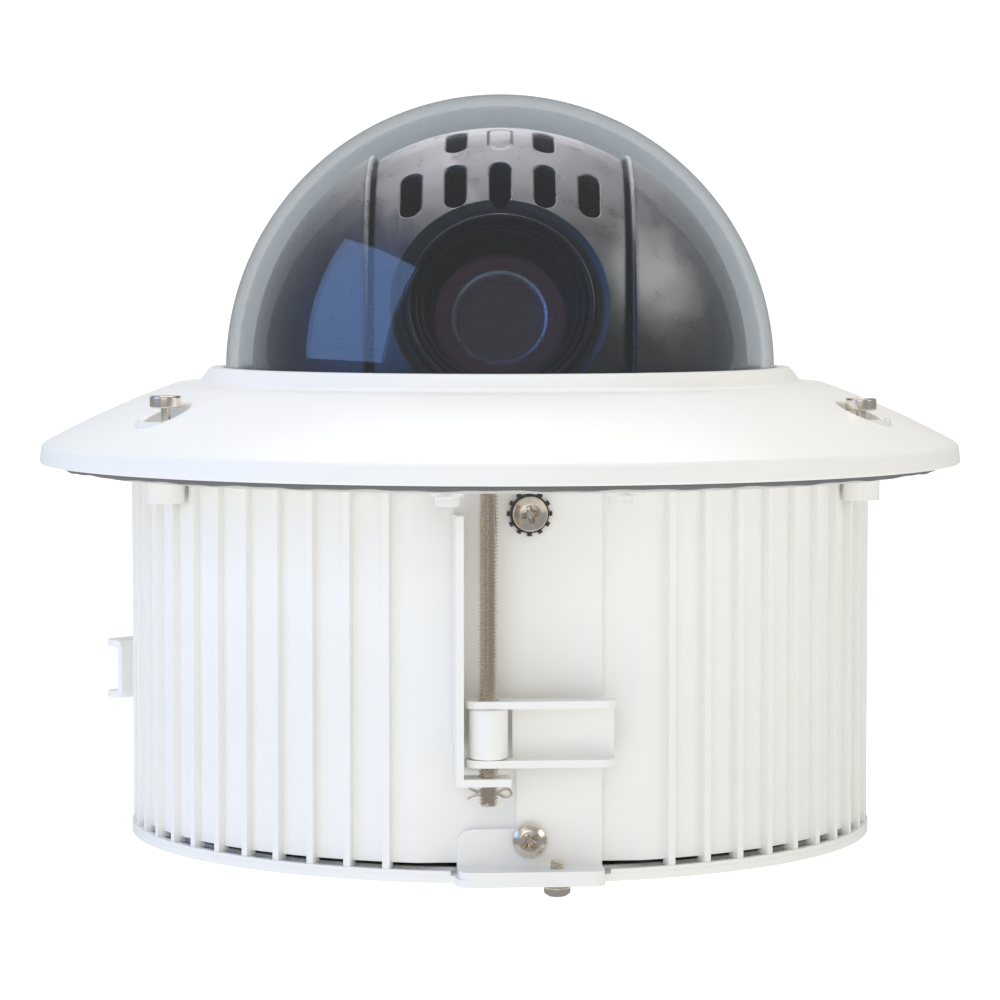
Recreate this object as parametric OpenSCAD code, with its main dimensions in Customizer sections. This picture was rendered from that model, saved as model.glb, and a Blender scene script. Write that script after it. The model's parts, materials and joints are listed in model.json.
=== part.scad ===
// Recessed ceiling dome camera with pan, tilt and zoom, standing dome up on its base screws.
// Millimetres. +Z runs from the base plate to the dome, and the lens looks along -Y.

/* [Trim ring and dome] */
// Outer radius of the trim ring
ring_r = 100; // [99:0.5:101]
// Height of the trim ring's lower edge
ring_z = 82.8; // [82.4:0.1:83.2]
// Outer radius of the raised collar round the dome
collar_r = 63.1; // [62.5:0.1:64]
// Height of the collar's top edge
collar_z = 103.3; // [103:0.1:103.8]
// Wall of the trim ring
ring_wall = 2.5; // [2:0.1:3]
// Outer radius of the clear dome
dome_r = 59.7; // [59.4:0.1:59.9]
// Wall of the clear dome
dome_wall = 2.5; // [2:0.1:3]
// Height of the dome's centre, where the pan and tilt axes cross
dome_z = 102.6; // [102.4:0.1:102.8]

/* [Housing] */
// Outer radius of the housing wall between its ribs
wall_r = 78.6; // [78.2:0.1:79]
// Thickness of the housing wall
wall_t = 2; // [1.6:0.1:2.4]
// Outer radius over the ribs
rib_r = 80.2; // [79.6:0.1:80.4]
// Width of one rib
rib_w = 1.5; // [1.2:0.1:1.8]
// Angle between neighbouring ribs
rib_step = 6; // [6:1:6]
// Distance of the flat behind each clamp from the axis
flat_x = 75.3; // [75:0.1:75.6]
// Height of the flange's underside
flange_z = 80.9; // [80.6:0.1:81]
// Direction of the first clamp, in degrees from +X
first_clamp = -85.5; // [-90:0.5:-80]

/* [Base] */
// Radius of the base plate
base_r = 80.5; // [80.4:0.1:81]
// Thickness of the base plate and of the clamp brackets
sheet = 1.5; // [1.4:0.1:1.6]
// Height of the base plate's underside, on its washers and screw heads
base_z = 2.7; // [2.6:0.1:2.8]
// Radius of the cable grommet's bore
cable_r = 5; // [4:0.5:6]

/* [Ceiling clamps] */
// Distance of the clamp rod from the axis
rod_x = 83; // [82.8:0.1:83.2]
// Sideways place of the clamp rod in its bracket
rod_y = -8.85; // [-9:0.05:-8.7]
// Crest radius of the clamp rod's thread
rod_r = 1.95; // [1.9:0.01:1.96]
// Height of the folded arm's lower face
arm_z = 26.55; // [26:0.05:27]
// Height of the clamp arm over its flanges
arm_h = 13.15; // [13:0.05:13.3]
// How far each arm is swung out, in degrees
arm_swing = [0, 0, 17]; // [0:1:90]
// How far each arm is raised on its rod
arm_lift = [0, 0, 1]; // [0:0.5:30]

/* [Gimbal] */
// Outer radius of the spherical pan cover
pan_cover_r = 54; // [53.8:0.1:54.2]
// Outer radius of the spherical tilt cover
tilt_cover_r = 52.5; // [52:0.1:52.5]
// Half width of the slot in the pan cover
slot_half = 27.5; // [27:0.1:27.8]
// Half width of the tilt cover
tilt_half = 26; // [25.5:0.1:26.2]
// Elevation of the lens, in degrees above level
lens_tilt = 17.5; // [0:0.5:90]
// Teeth of the pan gear
pan_teeth = 66; // [66:1:66]
// Teeth of the tilt gear
tilt_teeth = 48; // [48:1:48]
// Teeth of both motor pinions
pinion_teeth = 12; // [12:1:12]

/* [Hidden] */
$fn = 96;
eps = 0.01;
base_top = base_z + sheet;
base_rim_top = base_top + 0.9;
wall_foot = base_rim_top + 1.2;
flange_top = flange_z + 2.5;
flange_r = 91;
inner_r = wall_r - wall_t;
inner_flat = flat_x - wall_t;
bracket_face = flat_x + sheet;
foot_top = base_top + sheet;

// M4 pan head screws, and the two that hold each bracket
m4_r = 1.95;
m4_head_r = 3.5;
m4_head_h = 2.6;
bracket_screw_y = -0.2;
bracket_screw_z = [10.9, 76.1];
washer_t = 0.7;

// M3 screws that hold the base plate to the bracket feet
m3_r = 1.45;
m3_head_r = 2.65;
m3_head_h = 2;
base_screw = [80, 5.1];

// Captive trim screws: how far each stands loose, and the pocket it sits in
trim_screw_rho = 83.5;
trim_screw_loose = [3.1, 3.5, 4];
pocket_r = 5;
pocket_floor = 91.9;

// Toothed wheels
pan_module = 1.5;
tilt_module = 1;
pan_pinion_rho = pan_module * (pan_teeth + pinion_teeth) / 2;
tilt_pinion_drop = tilt_module * (tilt_teeth + pinion_teeth) / 2;
pan_gear_z = 41;
pan_gear_h = 3.6;
tilt_gear_x = 32;
tilt_gear_w = 3;

// Levels of the drive stack
chassis_z = 20;
chassis_t = 2;
board_z = 9;
board_t = 1.6;
turntable_z = 45;
turntable_t = 3;
yoke_x = 28.2;
yoke_t = 2.5;

// Lens, measured along its axis from the centre of the dome
bezel_r = 19.4;
bezel_z = 48.3;
barrel_r = 17.9;
cell_r = 15.6;
baffle_z = 38;
baffle_r = 10;
bore_r = 12.4;

function clamp_dir(i) = first_clamp + 120 * i;

function polar(r, a) = [r * cos(a), r * sin(a)];

// Involute tooth form
function inv(a) = tan(a) * 180 / PI - a;
function flank_angle(r, pitch, teeth, play) =
    let (base = pitch * cos(20))
    90 / teeth * (1 - play) + inv(20) - (r > base ? inv(acos(base / r)) : 0);
function gear_outline(teeth, m, play = 0.06) =
    let (pitch = m * teeth / 2, root = pitch - 1.25 * m, tip = pitch + m * 0.95,
         steps = [root, max(root + eps, pitch * 0.965), pitch, pitch + 0.5 * m, tip])
    [for (k = [0 : teeth - 1]) each concat(
        [for (r = steps) polar(r, 360 * k / teeth - flank_angle(r, pitch, teeth, play))],
        [for (j = [len(steps) - 1 : -1 : 0])
            polar(steps[j], 360 * k / teeth + flank_angle(steps[j], pitch, teeth, play))]
    )];

// ---- Placing ----

// Local frame of a clamp: +X outward, +Y to the right as seen from outside
module at_clamp(i) { rotate([0, 0, clamp_dir(i)]) children(); }
module at_trim_screw(i) { rotate([0, 0, clamp_dir(i) + 60]) translate([trim_screw_rho, 0, 0]) children(); }
module at_rod(i) { at_clamp(i) translate([rod_x, rod_y, 0]) children(); }
// Local frame of the lens: +Z forward along its axis, +Y up
module at_lens() { translate([0, 0, dome_z]) rotate([90 - lens_tilt, 0, 0]) children(); }
module along_x(x) { translate([x, 0, 0]) rotate([0, 90, 0]) children(); }

// ---- Shared shapes ----

module tube(r_out, r_in, z0, z1) {
    difference() {
        translate([0, 0, z0]) cylinder(r = r_out, h = z1 - z0);
        translate([0, 0, z0 - 1]) cylinder(r = r_in, h = z1 - z0 + 2);
    }
}

// Round prism with the three clamp flats cut off it
module flatted(r, flat, z0, z1) {
    difference() {
        translate([0, 0, z0]) cylinder(r = r, h = z1 - z0);
        for (i = [0 : 2]) at_clamp(i) translate([flat, -40, z0 - 1]) cube([40, 80, z1 - z0 + 2]);
    }
}

module cross_recess(r, depth, w) {
    for (a = [0, 90]) rotate([0, 0, a]) translate([-r, -w / 2, -depth]) cube([2 * r, w, depth + 1]);
}

// Pan head screw, its head standing on z = 0 and its shank going down
module pan_screw(shank_r, shank_l, head_r, head_h) {
    difference() {
        union() {
            translate([0, 0, -shank_l]) cylinder(r = shank_r, h = shank_l + eps);
            cylinder(r = head_r, h = head_h * 0.55);
            intersection() {
                translate([0, 0, head_h - head_r * 1.9 + 0.12]) sphere(r = head_r * 1.9);
                cylinder(r = head_r - 0.25, h = head_h);
            }
        }
        translate([0, 0, head_h]) cross_recess(head_r * 0.62, head_h * 0.55, head_r * 0.26);
    }
}

// ---- Housing ----

module housing_wall() {
    difference() {
        flatted(wall_r, flat_x, wall_foot, flange_z + eps);
        flatted(inner_r, inner_flat, wall_foot - 1, flange_z + 1);
    }
    for (i = [0 : 2], k = [0 : 13])
        rotate([0, 0, clamp_dir(i) + 21 + rib_step * k])
            translate([wall_r - wall_t / 2, -rib_w / 2, base_rim_top])
                cube([rib_r - wall_r + wall_t / 2, rib_w, flange_z - base_rim_top + eps]);
}

module ceiling_nub() {
    translate([0, 0, flange_z - 0.7]) cylinder(r = 3.3, h = 0.7 + eps);
    translate([0, 0, flange_z - 1.7]) cylinder(r = 2.5, h = 1.7);
    intersection() {
        translate([0, 0, flange_z - 1.7]) sphere(r = 2.5);
        translate([0, 0, flange_z - 2.7]) cylinder(r = 2.5, h = 1.1);
    }
}

module housing_shell() {
    color("whitesmoke") difference() {
        union() {
            housing_wall();
            tube(flange_r, inner_flat - 4, flange_z, flange_top);
            for (i = [0 : 2]) {
                at_trim_screw(i) translate([0, 0, 76.3]) cylinder(r = 4, h = flange_z - 76.3 + eps);
                at_clamp(i) {
                    for (s = [-1, 1]) translate([86, 17 * s, 0]) ceiling_nub();
                    for (z = bracket_screw_z) translate([inner_flat - 4, bracket_screw_y, z])
                        rotate([0, 90, 0]) cylinder(r = 4.4, h = 4 + eps);
                }
            }
        }
        for (i = [0 : 2]) {
            at_trim_screw(i) translate([0, 0, 77.3]) cylinder(r = 1.55, h = 10);
            at_rod(i) translate([0, 0, flange_z - 1]) cylinder(r = 2.3, h = 5);
            at_clamp(i) for (z = bracket_screw_z)
                translate([inner_flat - 5, bracket_screw_y, z]) rotate([0, 90, 0]) cylinder(r = 2, h = 10);
        }
    }
}

// ---- Base ----

// Tab with rounded outer corners, under and on each clamp's side of the base
function corner_arc(x, y, r, from, to) = [for (k = [0 : 6]) [x, y] + polar(r, from + (to - from) * k / 6)];
function ear_outline(x0, x1, y0, y1, corner = 3) = concat(
    [[x0, y0]],
    corner_arc(x1 - corner, y0 + corner, corner, -90, 0),
    corner_arc(x1 - corner, y1 - corner, corner, 0, 90),
    [[x0, y1]]
);
function turned(points, a) = [
    for (p = points) [p[0] * cos(a) - p[1] * sin(a), p[0] * sin(a) + p[1] * cos(a)]
];

ear_x1 = 85;
ear_y = [-15.2, 14.5];
// Outline of the base plate: an ear at each clamp and an arc from one ear to the next
function base_outline() =
    let (from = asin(ear_y[1] / base_r), to = 120 + asin(ear_y[0] / base_r))
    [for (i = [0 : 2]) each turned(concat(
        ear_outline(base_r * cos(from), ear_x1, ear_y[0], ear_y[1]),
        [for (k = [1 : 89]) polar(base_r, from + (to - from) * k / 90)]
    ), clamp_dir(i))];

module base_plate() {
    color("whitesmoke") difference() {
        union() {
            translate([0, 0, base_z]) linear_extrude(sheet) polygon(base_outline());
            difference() {
                tube(base_r - 0.05, base_r - sheet, base_z + 0.5, base_rim_top);
                for (i = [0 : 2]) at_clamp(i) translate([60, -16, base_z]) cube([40, 32, 5]);
            }
        }
        translate([0, 40, 0]) cylinder(r = cable_r + 4, h = 20);
        for (i = [0 : 2]) at_clamp(i) translate([base_screw[0], base_screw[1], 0]) cylinder(r = 1.6, h = 10);
        for (a = [0 : 60 : 300]) rotate([0, 0, a]) translate([58, 0, 0]) cylinder(r = 3, h = 10);
    }
}

module base_screws() {
    color("silver") for (i = [0 : 2]) at_clamp(i) translate([base_screw[0], base_screw[1], m3_head_h])
        mirror([0, 0, 1]) pan_screw(m3_r, foot_top + 1.6 - m3_head_h, m3_head_r, m3_head_h);
}

module base_washers() {
    color("silver") for (i = [0 : 2]) at_clamp(i) translate([base_screw[0], base_screw[1], 0])
        tube(2.6, 1.55, m3_head_h, base_z);
}

module cable_grommet() {
    color("dimgray") translate([0, 40, 0]) difference() {
        union() {
            translate([0, 0, base_z - 1.8]) cylinder(r = cable_r + 6.5, h = 1.8);
            translate([0, 0, base_z - eps]) cylinder(r = cable_r + 4, h = sheet + 2 * eps);
            translate([0, 0, base_top]) cylinder(r = cable_r + 6.5, h = 2);
        }
        cylinder(r = cable_r, h = 20);
    }
}

// ---- Ceiling clamps ----

module bracket_plate() {
    translate([flat_x, -15.4, 25]) cube([sheet, 29.8, flange_z - 0.2 - 25]);
    translate([flat_x, -2.75, 13.1]) cube([sheet, 17.15, 12]);
    translate([flat_x, -14.6, base_top]) cube([sheet, 29, 5.9]);
    translate([flat_x, -11.6, base_top]) cube([sheet, 26, 8.9]);
    translate([flat_x, -11.6, base_top + 5.9]) rotate([0, 90, 0]) cylinder(r = 3, h = sheet);
    translate([0, 0, base_top]) linear_extrude(sheet) polygon(ear_outline(flat_x, ear_x1, -14.6, 14.4));
}

module bracket_side() {
    translate([flat_x, -15.4, 30.4]) cube([11.2, sheet, 45.8]);
    translate([79.4, -15.4, 22.9]) cube([7.1, sheet, 8]);
    translate([79.4, -15.4, 22.9]) cube([7.1, 10.9, sheet]);
}

module clamp_bracket(i) {
    color("whitesmoke") at_clamp(i) difference() {
        union() {
            bracket_plate();
            bracket_side();
        }
        translate([rod_x, rod_y, 20]) cylinder(r = 2.1, h = 6);
        translate([base_screw[0], base_screw[1], 0]) cylinder(r = 1.5, h = 10);
        for (z = bracket_screw_z) translate([flat_x - 1, bracket_screw_y, z])
            rotate([0, 90, 0]) cylinder(r = 2.15, h = 4);
    }
}

module bracket_screws() {
    color("silver") for (i = [0 : 2], k = [0, 1]) at_clamp(i)
        translate([bracket_face + k * washer_t, bracket_screw_y, bracket_screw_z[k]])
            rotate([0, 90, 0]) rotate([0, 0, 25 + 40 * k])
                pan_screw(m4_r, 7 + k * washer_t, m4_head_r, m4_head_h);
}

module lock_washers() {
    color("gray") for (i = [0 : 2]) at_clamp(i)
        translate([bracket_face, bracket_screw_y, bracket_screw_z[1]]) rotate([0, 90, 0]) {
            tube(3.9, 2.1, 0, washer_t);
            for (k = [0 : 11]) rotate([0, 0, 30 * k]) translate([3.6, -0.45, 0.1]) cube([0.9, 0.9, 0.5]);
        }
}

module clamp_rod(i) {
    color("lightgray") at_rod(i) difference() {
        translate([0, 0, flange_top + 0.1]) pan_screw(rod_r, flange_top + 0.1 - 18.7, m4_head_r, m4_head_h);
        translate([0, -5, 21.3]) rotate([-90, 0, 0]) cylinder(r = 0.65, h = 10);
    }
}

module cotter_pin(i) {
    color("lightgray") at_rod(i) translate([0, 0, 21.3]) {
        translate([0, -2.4, 0]) rotate([-90, 0, 0]) cylinder(r = 0.6, h = 5.2, $fn = 24);
        for (s = [-1, 1]) translate([0, -2.2, 0.2 * s])
            rotate([90 + 24 * s, 0, 0]) cylinder(r = 0.42, h = 2.3, $fn = 24);
        translate([0, 3.5, 0]) rotate([0, 90, 0])
            rotate_extrude($fn = 48) translate([0.8, 0]) circle(r = 0.42, $fn = 24);
    }
}

module clamp_nut(i) {
    color("lightgray") at_rod(i)
        translate([0, 0, arm_lift[i]]) tube(3.87, 2, arm_z + sheet + 0.1, arm_z + arm_h - sheet - 0.1);
}

module arm_flange(z) {
    front = 86.2 - rod_x;
    back = 79.2 - rod_x;
    tip = 16.4 - rod_y;
    corner = 3.5;
    half = (front - back) / 2;
    translate([0, 0, z]) linear_extrude(sheet) polygon(concat(
        corner_arc(back + half, -1.15, half, -180, -90),
        corner_arc(back + half, -1.15, half, -90, 0),
        corner_arc(front - corner, tip - corner, corner, 0, 90),
        [[back, tip]]
    ));
}

module clamp_arm(i) {
    web_start = 4.95;
    color("whitesmoke") at_rod(i) translate([0, 0, arm_lift[i]]) rotate([0, 0, -arm_swing[i]]) difference() {
        union() {
            arm_flange(arm_z);
            arm_flange(arm_z + arm_h - sheet);
            translate([79.2 - rod_x, web_start, arm_z]) cube([sheet, 16.4 - rod_y - web_start, arm_h]);
        }
        cylinder(r = 2.1, h = 60);
    }
}

// ---- Trim ring and dome ----

// Crowned face of the trim ring: a shallow arc from the lip up to the flat round the collar
crown_r = 200;
crown_low = [98.9, 87.2];
crown_low_slope = 28.5;
crown_high_slope = 19.6;
function crown(a) = [
    crown_low[0] - crown_r * (sin(crown_low_slope) - sin(a)),
    crown_low[1] + crown_r * (cos(a) - cos(crown_low_slope))
];
function crown_points(drop) = [
    for (k = [0 : 10])
        let (a = crown_low_slope + (crown_high_slope - crown_low_slope) * k / 10, p = crown(a))
            [p[0], p[1] - drop]
];
function reversed(v) = [for (k = [len(v) - 1 : -1 : 0]) v[k]];
function ring_outer() = concat(
    [[ring_r, ring_z], [ring_r - 0.4, 86.4]],
    crown_points(0),
    [[65.6, 100], [collar_r, collar_z]]
);

module ring_body() {
    rotate_extrude() polygon(concat(
        ring_outer(),
        [[dome_r + 0.5, collar_z], [dome_r + 0.5, 96], [66, 96], [66, 100 - ring_wall]],
        [for (p = reversed(crown_points(ring_wall + 0.2))) if (p[0] < 97) p],
        [[97, ring_z + 1.6], [91.5, ring_z + 1.6], [91.5, ring_z]]
    ));
}

module trim_ring() {
    color("whitesmoke") difference() {
        union() {
            ring_body();
            intersection() {
                rotate_extrude() polygon(concat(
                    ring_outer(),
                    [[dome_r + 0.5, collar_z], [dome_r + 0.5, ring_z]]
                ));
                for (i = [0 : 2]) at_trim_screw(i)
                    translate([0, 0, 89.5]) cylinder(r = pocket_r + 1.3, h = 12);
            }
            for (a = [0 : 60 : 300]) rotate([0, 0, a]) translate([69.2, 0, 92]) cylinder(r = 2.9, h = 6);
        }
        for (i = [0 : 2]) at_trim_screw(i) {
            translate([0, 0, pocket_floor]) cylinder(r = pocket_r, h = 12);
            translate([0, 0, 80]) cylinder(r = 1.6, h = 20);
        }
        for (a = [0 : 60 : 300]) rotate([0, 0, a]) translate([69.2, 0, 91]) cylinder(r = 1.25, h = 5.5);
    }
}

module ceiling_gasket() { color("dimgray") tube(97, 91.5, flange_z, ring_z); }

module dome_bubble() {
    color("slategray", 0.45) difference() {
        union() {
            intersection() {
                translate([0, 0, dome_z]) sphere(r = dome_r);
                translate([0, 0, dome_z - eps]) cylinder(r = dome_r + 1, h = dome_r + 1);
            }
            translate([0, 0, 92]) cylinder(r = dome_r, h = dome_z - 92);
            translate([0, 0, 92]) cylinder(r = 65.5, h = 2.5);
        }
        translate([0, 0, dome_z]) sphere(r = dome_r - dome_wall);
        translate([0, 0, 91]) cylinder(r = dome_r - dome_wall, h = dome_z - 91);
    }
}

module dome_seal() { color("dimgray") tube(65.4, 60.6, 94.5, 96); }

module dome_retainer() {
    color("gainsboro") difference() {
        tube(72.3, 57.6, 89.9, 92);
        for (a = [0 : 60 : 300]) rotate([0, 0, a]) translate([69.2, 0, 85]) cylinder(r = 1.4, h = 10);
    }
}

module retainer_screws() {
    color("silver") for (a = [0 : 60 : 300]) rotate([0, 0, a]) translate([69.2, 0, 89.9])
        mirror([0, 0, 1]) pan_screw(1.2, 6, 2.2, 1.5);
}

// Captive screw: flat head, thin waist and a threaded end
module trim_screw(i) {
    color("silver") at_trim_screw(i) translate([0, 0, pocket_floor + trim_screw_loose[i]]) difference() {
        union() {
            cylinder(r = 3.1, h = 2.5);
            translate([0, 0, 0.35]) cylinder(r = 3.25, h = 1.8);
            translate([0, 0, -7]) cylinder(r = 0.95, h = 7 + eps);
            translate([0, 0, -14]) cylinder(r = m3_r, h = 7);
        }
        translate([0, 0, 2.5]) cross_recess(2, 1.4, 0.85);
    }
}

// ---- Chassis and electronics ----

module chassis_plate() {
    color("gainsboro") difference() {
        translate([0, 0, chassis_z]) cylinder(r = 72.5, h = chassis_t);
        translate([0, 0, chassis_z - 1]) cylinder(r = 10.7, h = 5);
        for (a = [45 : 90 : 315]) rotate([0, 0, a])
            translate([64, 0, chassis_z - 1]) cylinder(r = 1.6, h = 5);
        for (a = [30 : 60 : 330]) rotate([0, 0, a])
            translate([48, 0, chassis_z - 1]) cylinder(r = 6, h = 5);
    }
}

module chassis_posts() {
    color("silver") for (a = [45 : 90 : 315]) rotate([0, 0, a]) translate([64, 0, 0]) {
        translate([0, 0, base_top]) cylinder(r = 3.2, h = board_z - base_top, $fn = 6);
        translate([0, 0, board_z - eps]) cylinder(r = 1.5, h = board_t + 2 * eps);
        translate([0, 0, board_z + board_t]) cylinder(r = 3.2, h = chassis_z - board_z - board_t, $fn = 6);
        translate([0, 0, chassis_z - eps]) cylinder(r = 1.5, h = chassis_t + 1);
    }
}

module main_board() {
    chips = [
        [-30, -30, 14, 14, 1.6],
        [22, -36, 18, 10, 1.4],
        [34, 10, 10, 10, 1.2],
        [-46, 4, 12, 8, 5],
        [-8, -54, 9, 6, 2]
    ];
    cans = [[-34, 32, 5, 6.5], [-20, 40, 4, 6], [44, -14, 4, 5.5], [20, 48, 5, 6.5]];
    color("seagreen") {
        difference() {
            translate([0, 0, board_z]) cylinder(r = 68.5, h = board_t);
            translate([0, 0, board_z - 1]) cylinder(r = 12, h = 5);
            translate([0, 40, board_z - 1]) cylinder(r = 13, h = 5);
            for (a = [45 : 90 : 315]) rotate([0, 0, a])
                translate([64, 0, board_z - 1]) cylinder(r = 1.6, h = 5);
        }
        for (c = chips) translate([c[0], c[1], board_z + board_t - eps]) cube([c[2], c[3], c[4]]);
        for (c = cans) translate([c[0], c[1], board_z + board_t - eps]) cylinder(r = c[2], h = c[3]);
    }
}

module terminal_blocks() {
    color("green") for (x = [-22, 2]) translate([x, 56, board_z + board_t]) difference() {
        cube([20, 7.6, 8]);
        for (k = [0 : 3]) {
            translate([2.5 + 5 * k, -1, 2]) translate([-1.5, 0, 0]) cube([3, 5, 3]);
            translate([2.5 + 5 * k, 4.6, 3]) cylinder(r = 1.4, h = 6);
        }
    }
}

// ---- Pan drive ----

module race_groove(z) { translate([0, 0, z]) rotate_extrude() translate([24.5, 0]) circle(r = 2.5); }

module pan_bearing_outer() {
    color("silver") difference() {
        tube(31, 26.5, chassis_z + chassis_t, 31);
        race_groove(26.5);
    }
}

module pan_bearing_inner() {
    color("silver") {
        difference() {
            tube(22.5, 17, chassis_z + chassis_t + 0.5, 31);
            race_groove(26.5);
        }
        for (k = [0 : 9]) rotate([0, 0, 36 * k]) translate([24.5, 0, 26.5]) sphere(r = 2.4);
    }
}

module slip_ring_stator() {
    color("dimgray") difference() {
        union() {
            translate([0, 0, 12]) cylinder(r = 10.5, h = 22);
            translate([0, 0, chassis_z + chassis_t]) cylinder(r = 15, h = 1.6);
        }
        translate([0, 0, 11]) cylinder(r = 6.05, h = 24);
    }
}

module slip_ring_rotor() {
    color("darkgoldenrod") {
        translate([0, 0, 10.5]) cylinder(r = 6, h = turntable_z + turntable_t - 10.5 + eps);
        translate([0, 0, turntable_z + turntable_t]) cylinder(r = 9, h = 1.4);
    }
}

module turntable() {
    color("dimgray") difference() {
        union() {
            translate([0, 0, turntable_z]) cylinder(r = 52.6, h = turntable_t);
            translate([0, 0, 24.2]) cylinder(r = 16.95, h = turntable_z - 24.2 + eps);
        }
        translate([0, 0, 24]) cylinder(r = 12.5, h = turntable_z - 24);
        translate([0, 0, 24]) cylinder(r = 6.1, h = 40);
        for (a = [0, 180]) rotate([0, 0, a + 90]) translate([32, 0, 40]) cylinder(r = 8, h = 12);
    }
}

module pan_gear() {
    color("ivory") rotate([0, 0, 90]) difference() {
        translate([0, 0, pan_gear_z]) linear_extrude(pan_gear_h) polygon(gear_outline(pan_teeth, pan_module));
        translate([0, 0, pan_gear_z - 1]) cylinder(r = 17, h = 6);
        for (a = [30 : 60 : 330]) rotate([0, 0, a]) translate([32, 0, pan_gear_z - 1]) cylinder(r = 8, h = 6);
    }
}

module pan_motor() {
    top = chassis_z + chassis_t + 16;
    color("gray") translate([0, pan_pinion_rho, 0]) difference() {
        union() {
            translate([0, 0, chassis_z + chassis_t]) cylinder(r = 11, h = 16);
            translate([-16, -4, chassis_z + chassis_t]) cube([32, 8, 1.5]);
            translate([0, 0, top - eps]) cylinder(r = 4, h = 1.2);
        }
        translate([0, 0, top - 6]) cylinder(r = 1.55, h = 10);
    }
}

module pan_pinion() {
    shaft_z = chassis_z + chassis_t + 11;
    color("goldenrod") translate([0, pan_pinion_rho, 0]) {
        translate([0, 0, pan_gear_z]) rotate([0, 0, 270 + 180 / pinion_teeth])
            linear_extrude(pan_gear_h) polygon(gear_outline(pinion_teeth, pan_module));
        translate([0, 0, shaft_z]) cylinder(r = 1.5, h = pan_gear_z - shaft_z + eps);
    }
}

// ---- Gimbal ----

module yoke(side) {
    x0 = side > 0 ? yoke_x : -yoke_x - yoke_t;
    foot_x = side > 0 ? yoke_x : -yoke_x - 12;
    deck = turntable_z + turntable_t;
    color("dimgray") difference() {
        union() {
            translate([x0, 0, 0]) rotate([90, 0, 90]) linear_extrude(yoke_t)
                polygon([[-24, deck], [24, deck], [13.5, dome_z + 2], [-13.5, dome_z + 2]]);
            translate([0, 0, dome_z]) along_x(x0) cylinder(r = 14, h = yoke_t);
            translate([foot_x, -20, deck]) cube([12, 40, 2]);
        }
        translate([0, 0, dome_z]) along_x(x0 - 1) cylinder(r = 6, h = yoke_t + 2);
        for (z = [60, 86]) translate([0, 0, z]) along_x(x0 - 1) cylinder(r = 4, h = yoke_t + 2);
    }
}

module tilt_bushes() {
    color("goldenrod") for (side = [-1, 1]) translate([0, 0, dome_z]) rotate([0, 90 * side, 0]) difference() {
        union() {
            translate([0, 0, yoke_x - 0.5]) cylinder(r = 6, h = yoke_t + 1);
            translate([0, 0, yoke_x - 1]) cylinder(r = 8, h = 1);
        }
        translate([0, 0, yoke_x - 2]) cylinder(r = 4, h = 10);
    }
}

module pan_cover() {
    skirt_z = 46;
    shell = 1.2;
    slot_back = 12;
    color("dimgray") difference() {
        union() {
            intersection() {
                translate([0, 0, dome_z]) sphere(r = pan_cover_r);
                translate([0, 0, dome_z - eps]) cylinder(r = pan_cover_r + 1, h = pan_cover_r + 1);
            }
            translate([0, 0, skirt_z]) cylinder(r = pan_cover_r, h = dome_z - skirt_z);
        }
        translate([0, 0, dome_z]) sphere(r = pan_cover_r - shell);
        translate([0, 0, skirt_z - 1]) cylinder(r = pan_cover_r - shell, h = dome_z - skirt_z + 1);
        translate([-slot_half, -80, dome_z + 4]) cube([2 * slot_half, 80 + slot_back, 80]);
        translate([0, 0, dome_z + 4]) rotate([90, 0, 0]) cylinder(r = slot_half, h = 80);
    }
}

module tilt_gear_place() { translate([0, 0, dome_z]) along_x(tilt_gear_x) children(); }

module tilt_gear() {
    color("ivory") tilt_gear_place() difference() {
        linear_extrude(tilt_gear_w) polygon(gear_outline(tilt_teeth, tilt_module));
        translate([0, 0, -1]) cylinder(r = 3.98, h = 5);
        for (a = [0 : 60 : 300]) rotate([0, 0, a]) translate([13.5, 0, -1]) cylinder(r = 4.5, h = 5);
    }
}

module tilt_pinion() {
    color("goldenrod") tilt_gear_place() translate([tilt_pinion_drop, 0, 0]) {
        rotate([0, 0, 180 + 180 / pinion_teeth])
            linear_extrude(tilt_gear_w) polygon(gear_outline(pinion_teeth, tilt_module));
        cylinder(r = 1.5, h = 9);
    }
}

module tilt_motor() {
    plate_x = 3.8;
    color("gray") tilt_gear_place() translate([tilt_pinion_drop, 0, 0]) difference() {
        union() {
            translate([0, 0, plate_x + 1.2 - eps]) cylinder(r = 9, h = 12.5);
            translate([-4, -15, plate_x]) cube([8, 30, 1.2]);
            for (s = [-1, 1]) translate([0, 12.5 * s, yoke_x + yoke_t - tilt_gear_x])
                cylinder(r = 2.2, h = plate_x - yoke_x - yoke_t + tilt_gear_x + eps);
        }
        translate([0, 0, -1]) cylinder(r = 1.55, h = 11);
    }
}

module tilt_shafts() {
    left_end = yoke_x + yoke_t + 1.5;
    right_end = tilt_gear_x + tilt_gear_w + 1;
    color("silver") translate([0, 0, dome_z]) for (side = [-1, 1]) rotate([0, 90 * side, 0])
        translate([0, 0, 22]) cylinder(r = 3.95, h = (side > 0 ? right_end : left_end) - 22);
}

// ---- Camera head, in the frame of the lens ----

vent_w = 4.2;
vent_l = 12.9;
vent_pitch = 9.15;
module vent(x, angle) {
    rotate([-angle, 0, 0]) translate([x, 0, 30]) {
        translate([-vent_w / 2, -vent_l / 2 + vent_w / 2, 0]) cube([vent_w, vent_l - vent_w, 40]);
        for (s = [-1, 1]) translate([0, s * (vent_l - vent_w) / 2, 0]) cylinder(r = vent_w / 2, h = 40);
    }
}

// Half of a drum with spherical rim, about the tilt axis
module half_drum(r, half) {
    rotate([0, 90, 0]) rotate([0, 0, 75]) rotate_extrude(angle = 180) intersection() {
        circle(r = r);
        translate([0, -half]) square([r + 1, 2 * half]);
    }
}

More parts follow.
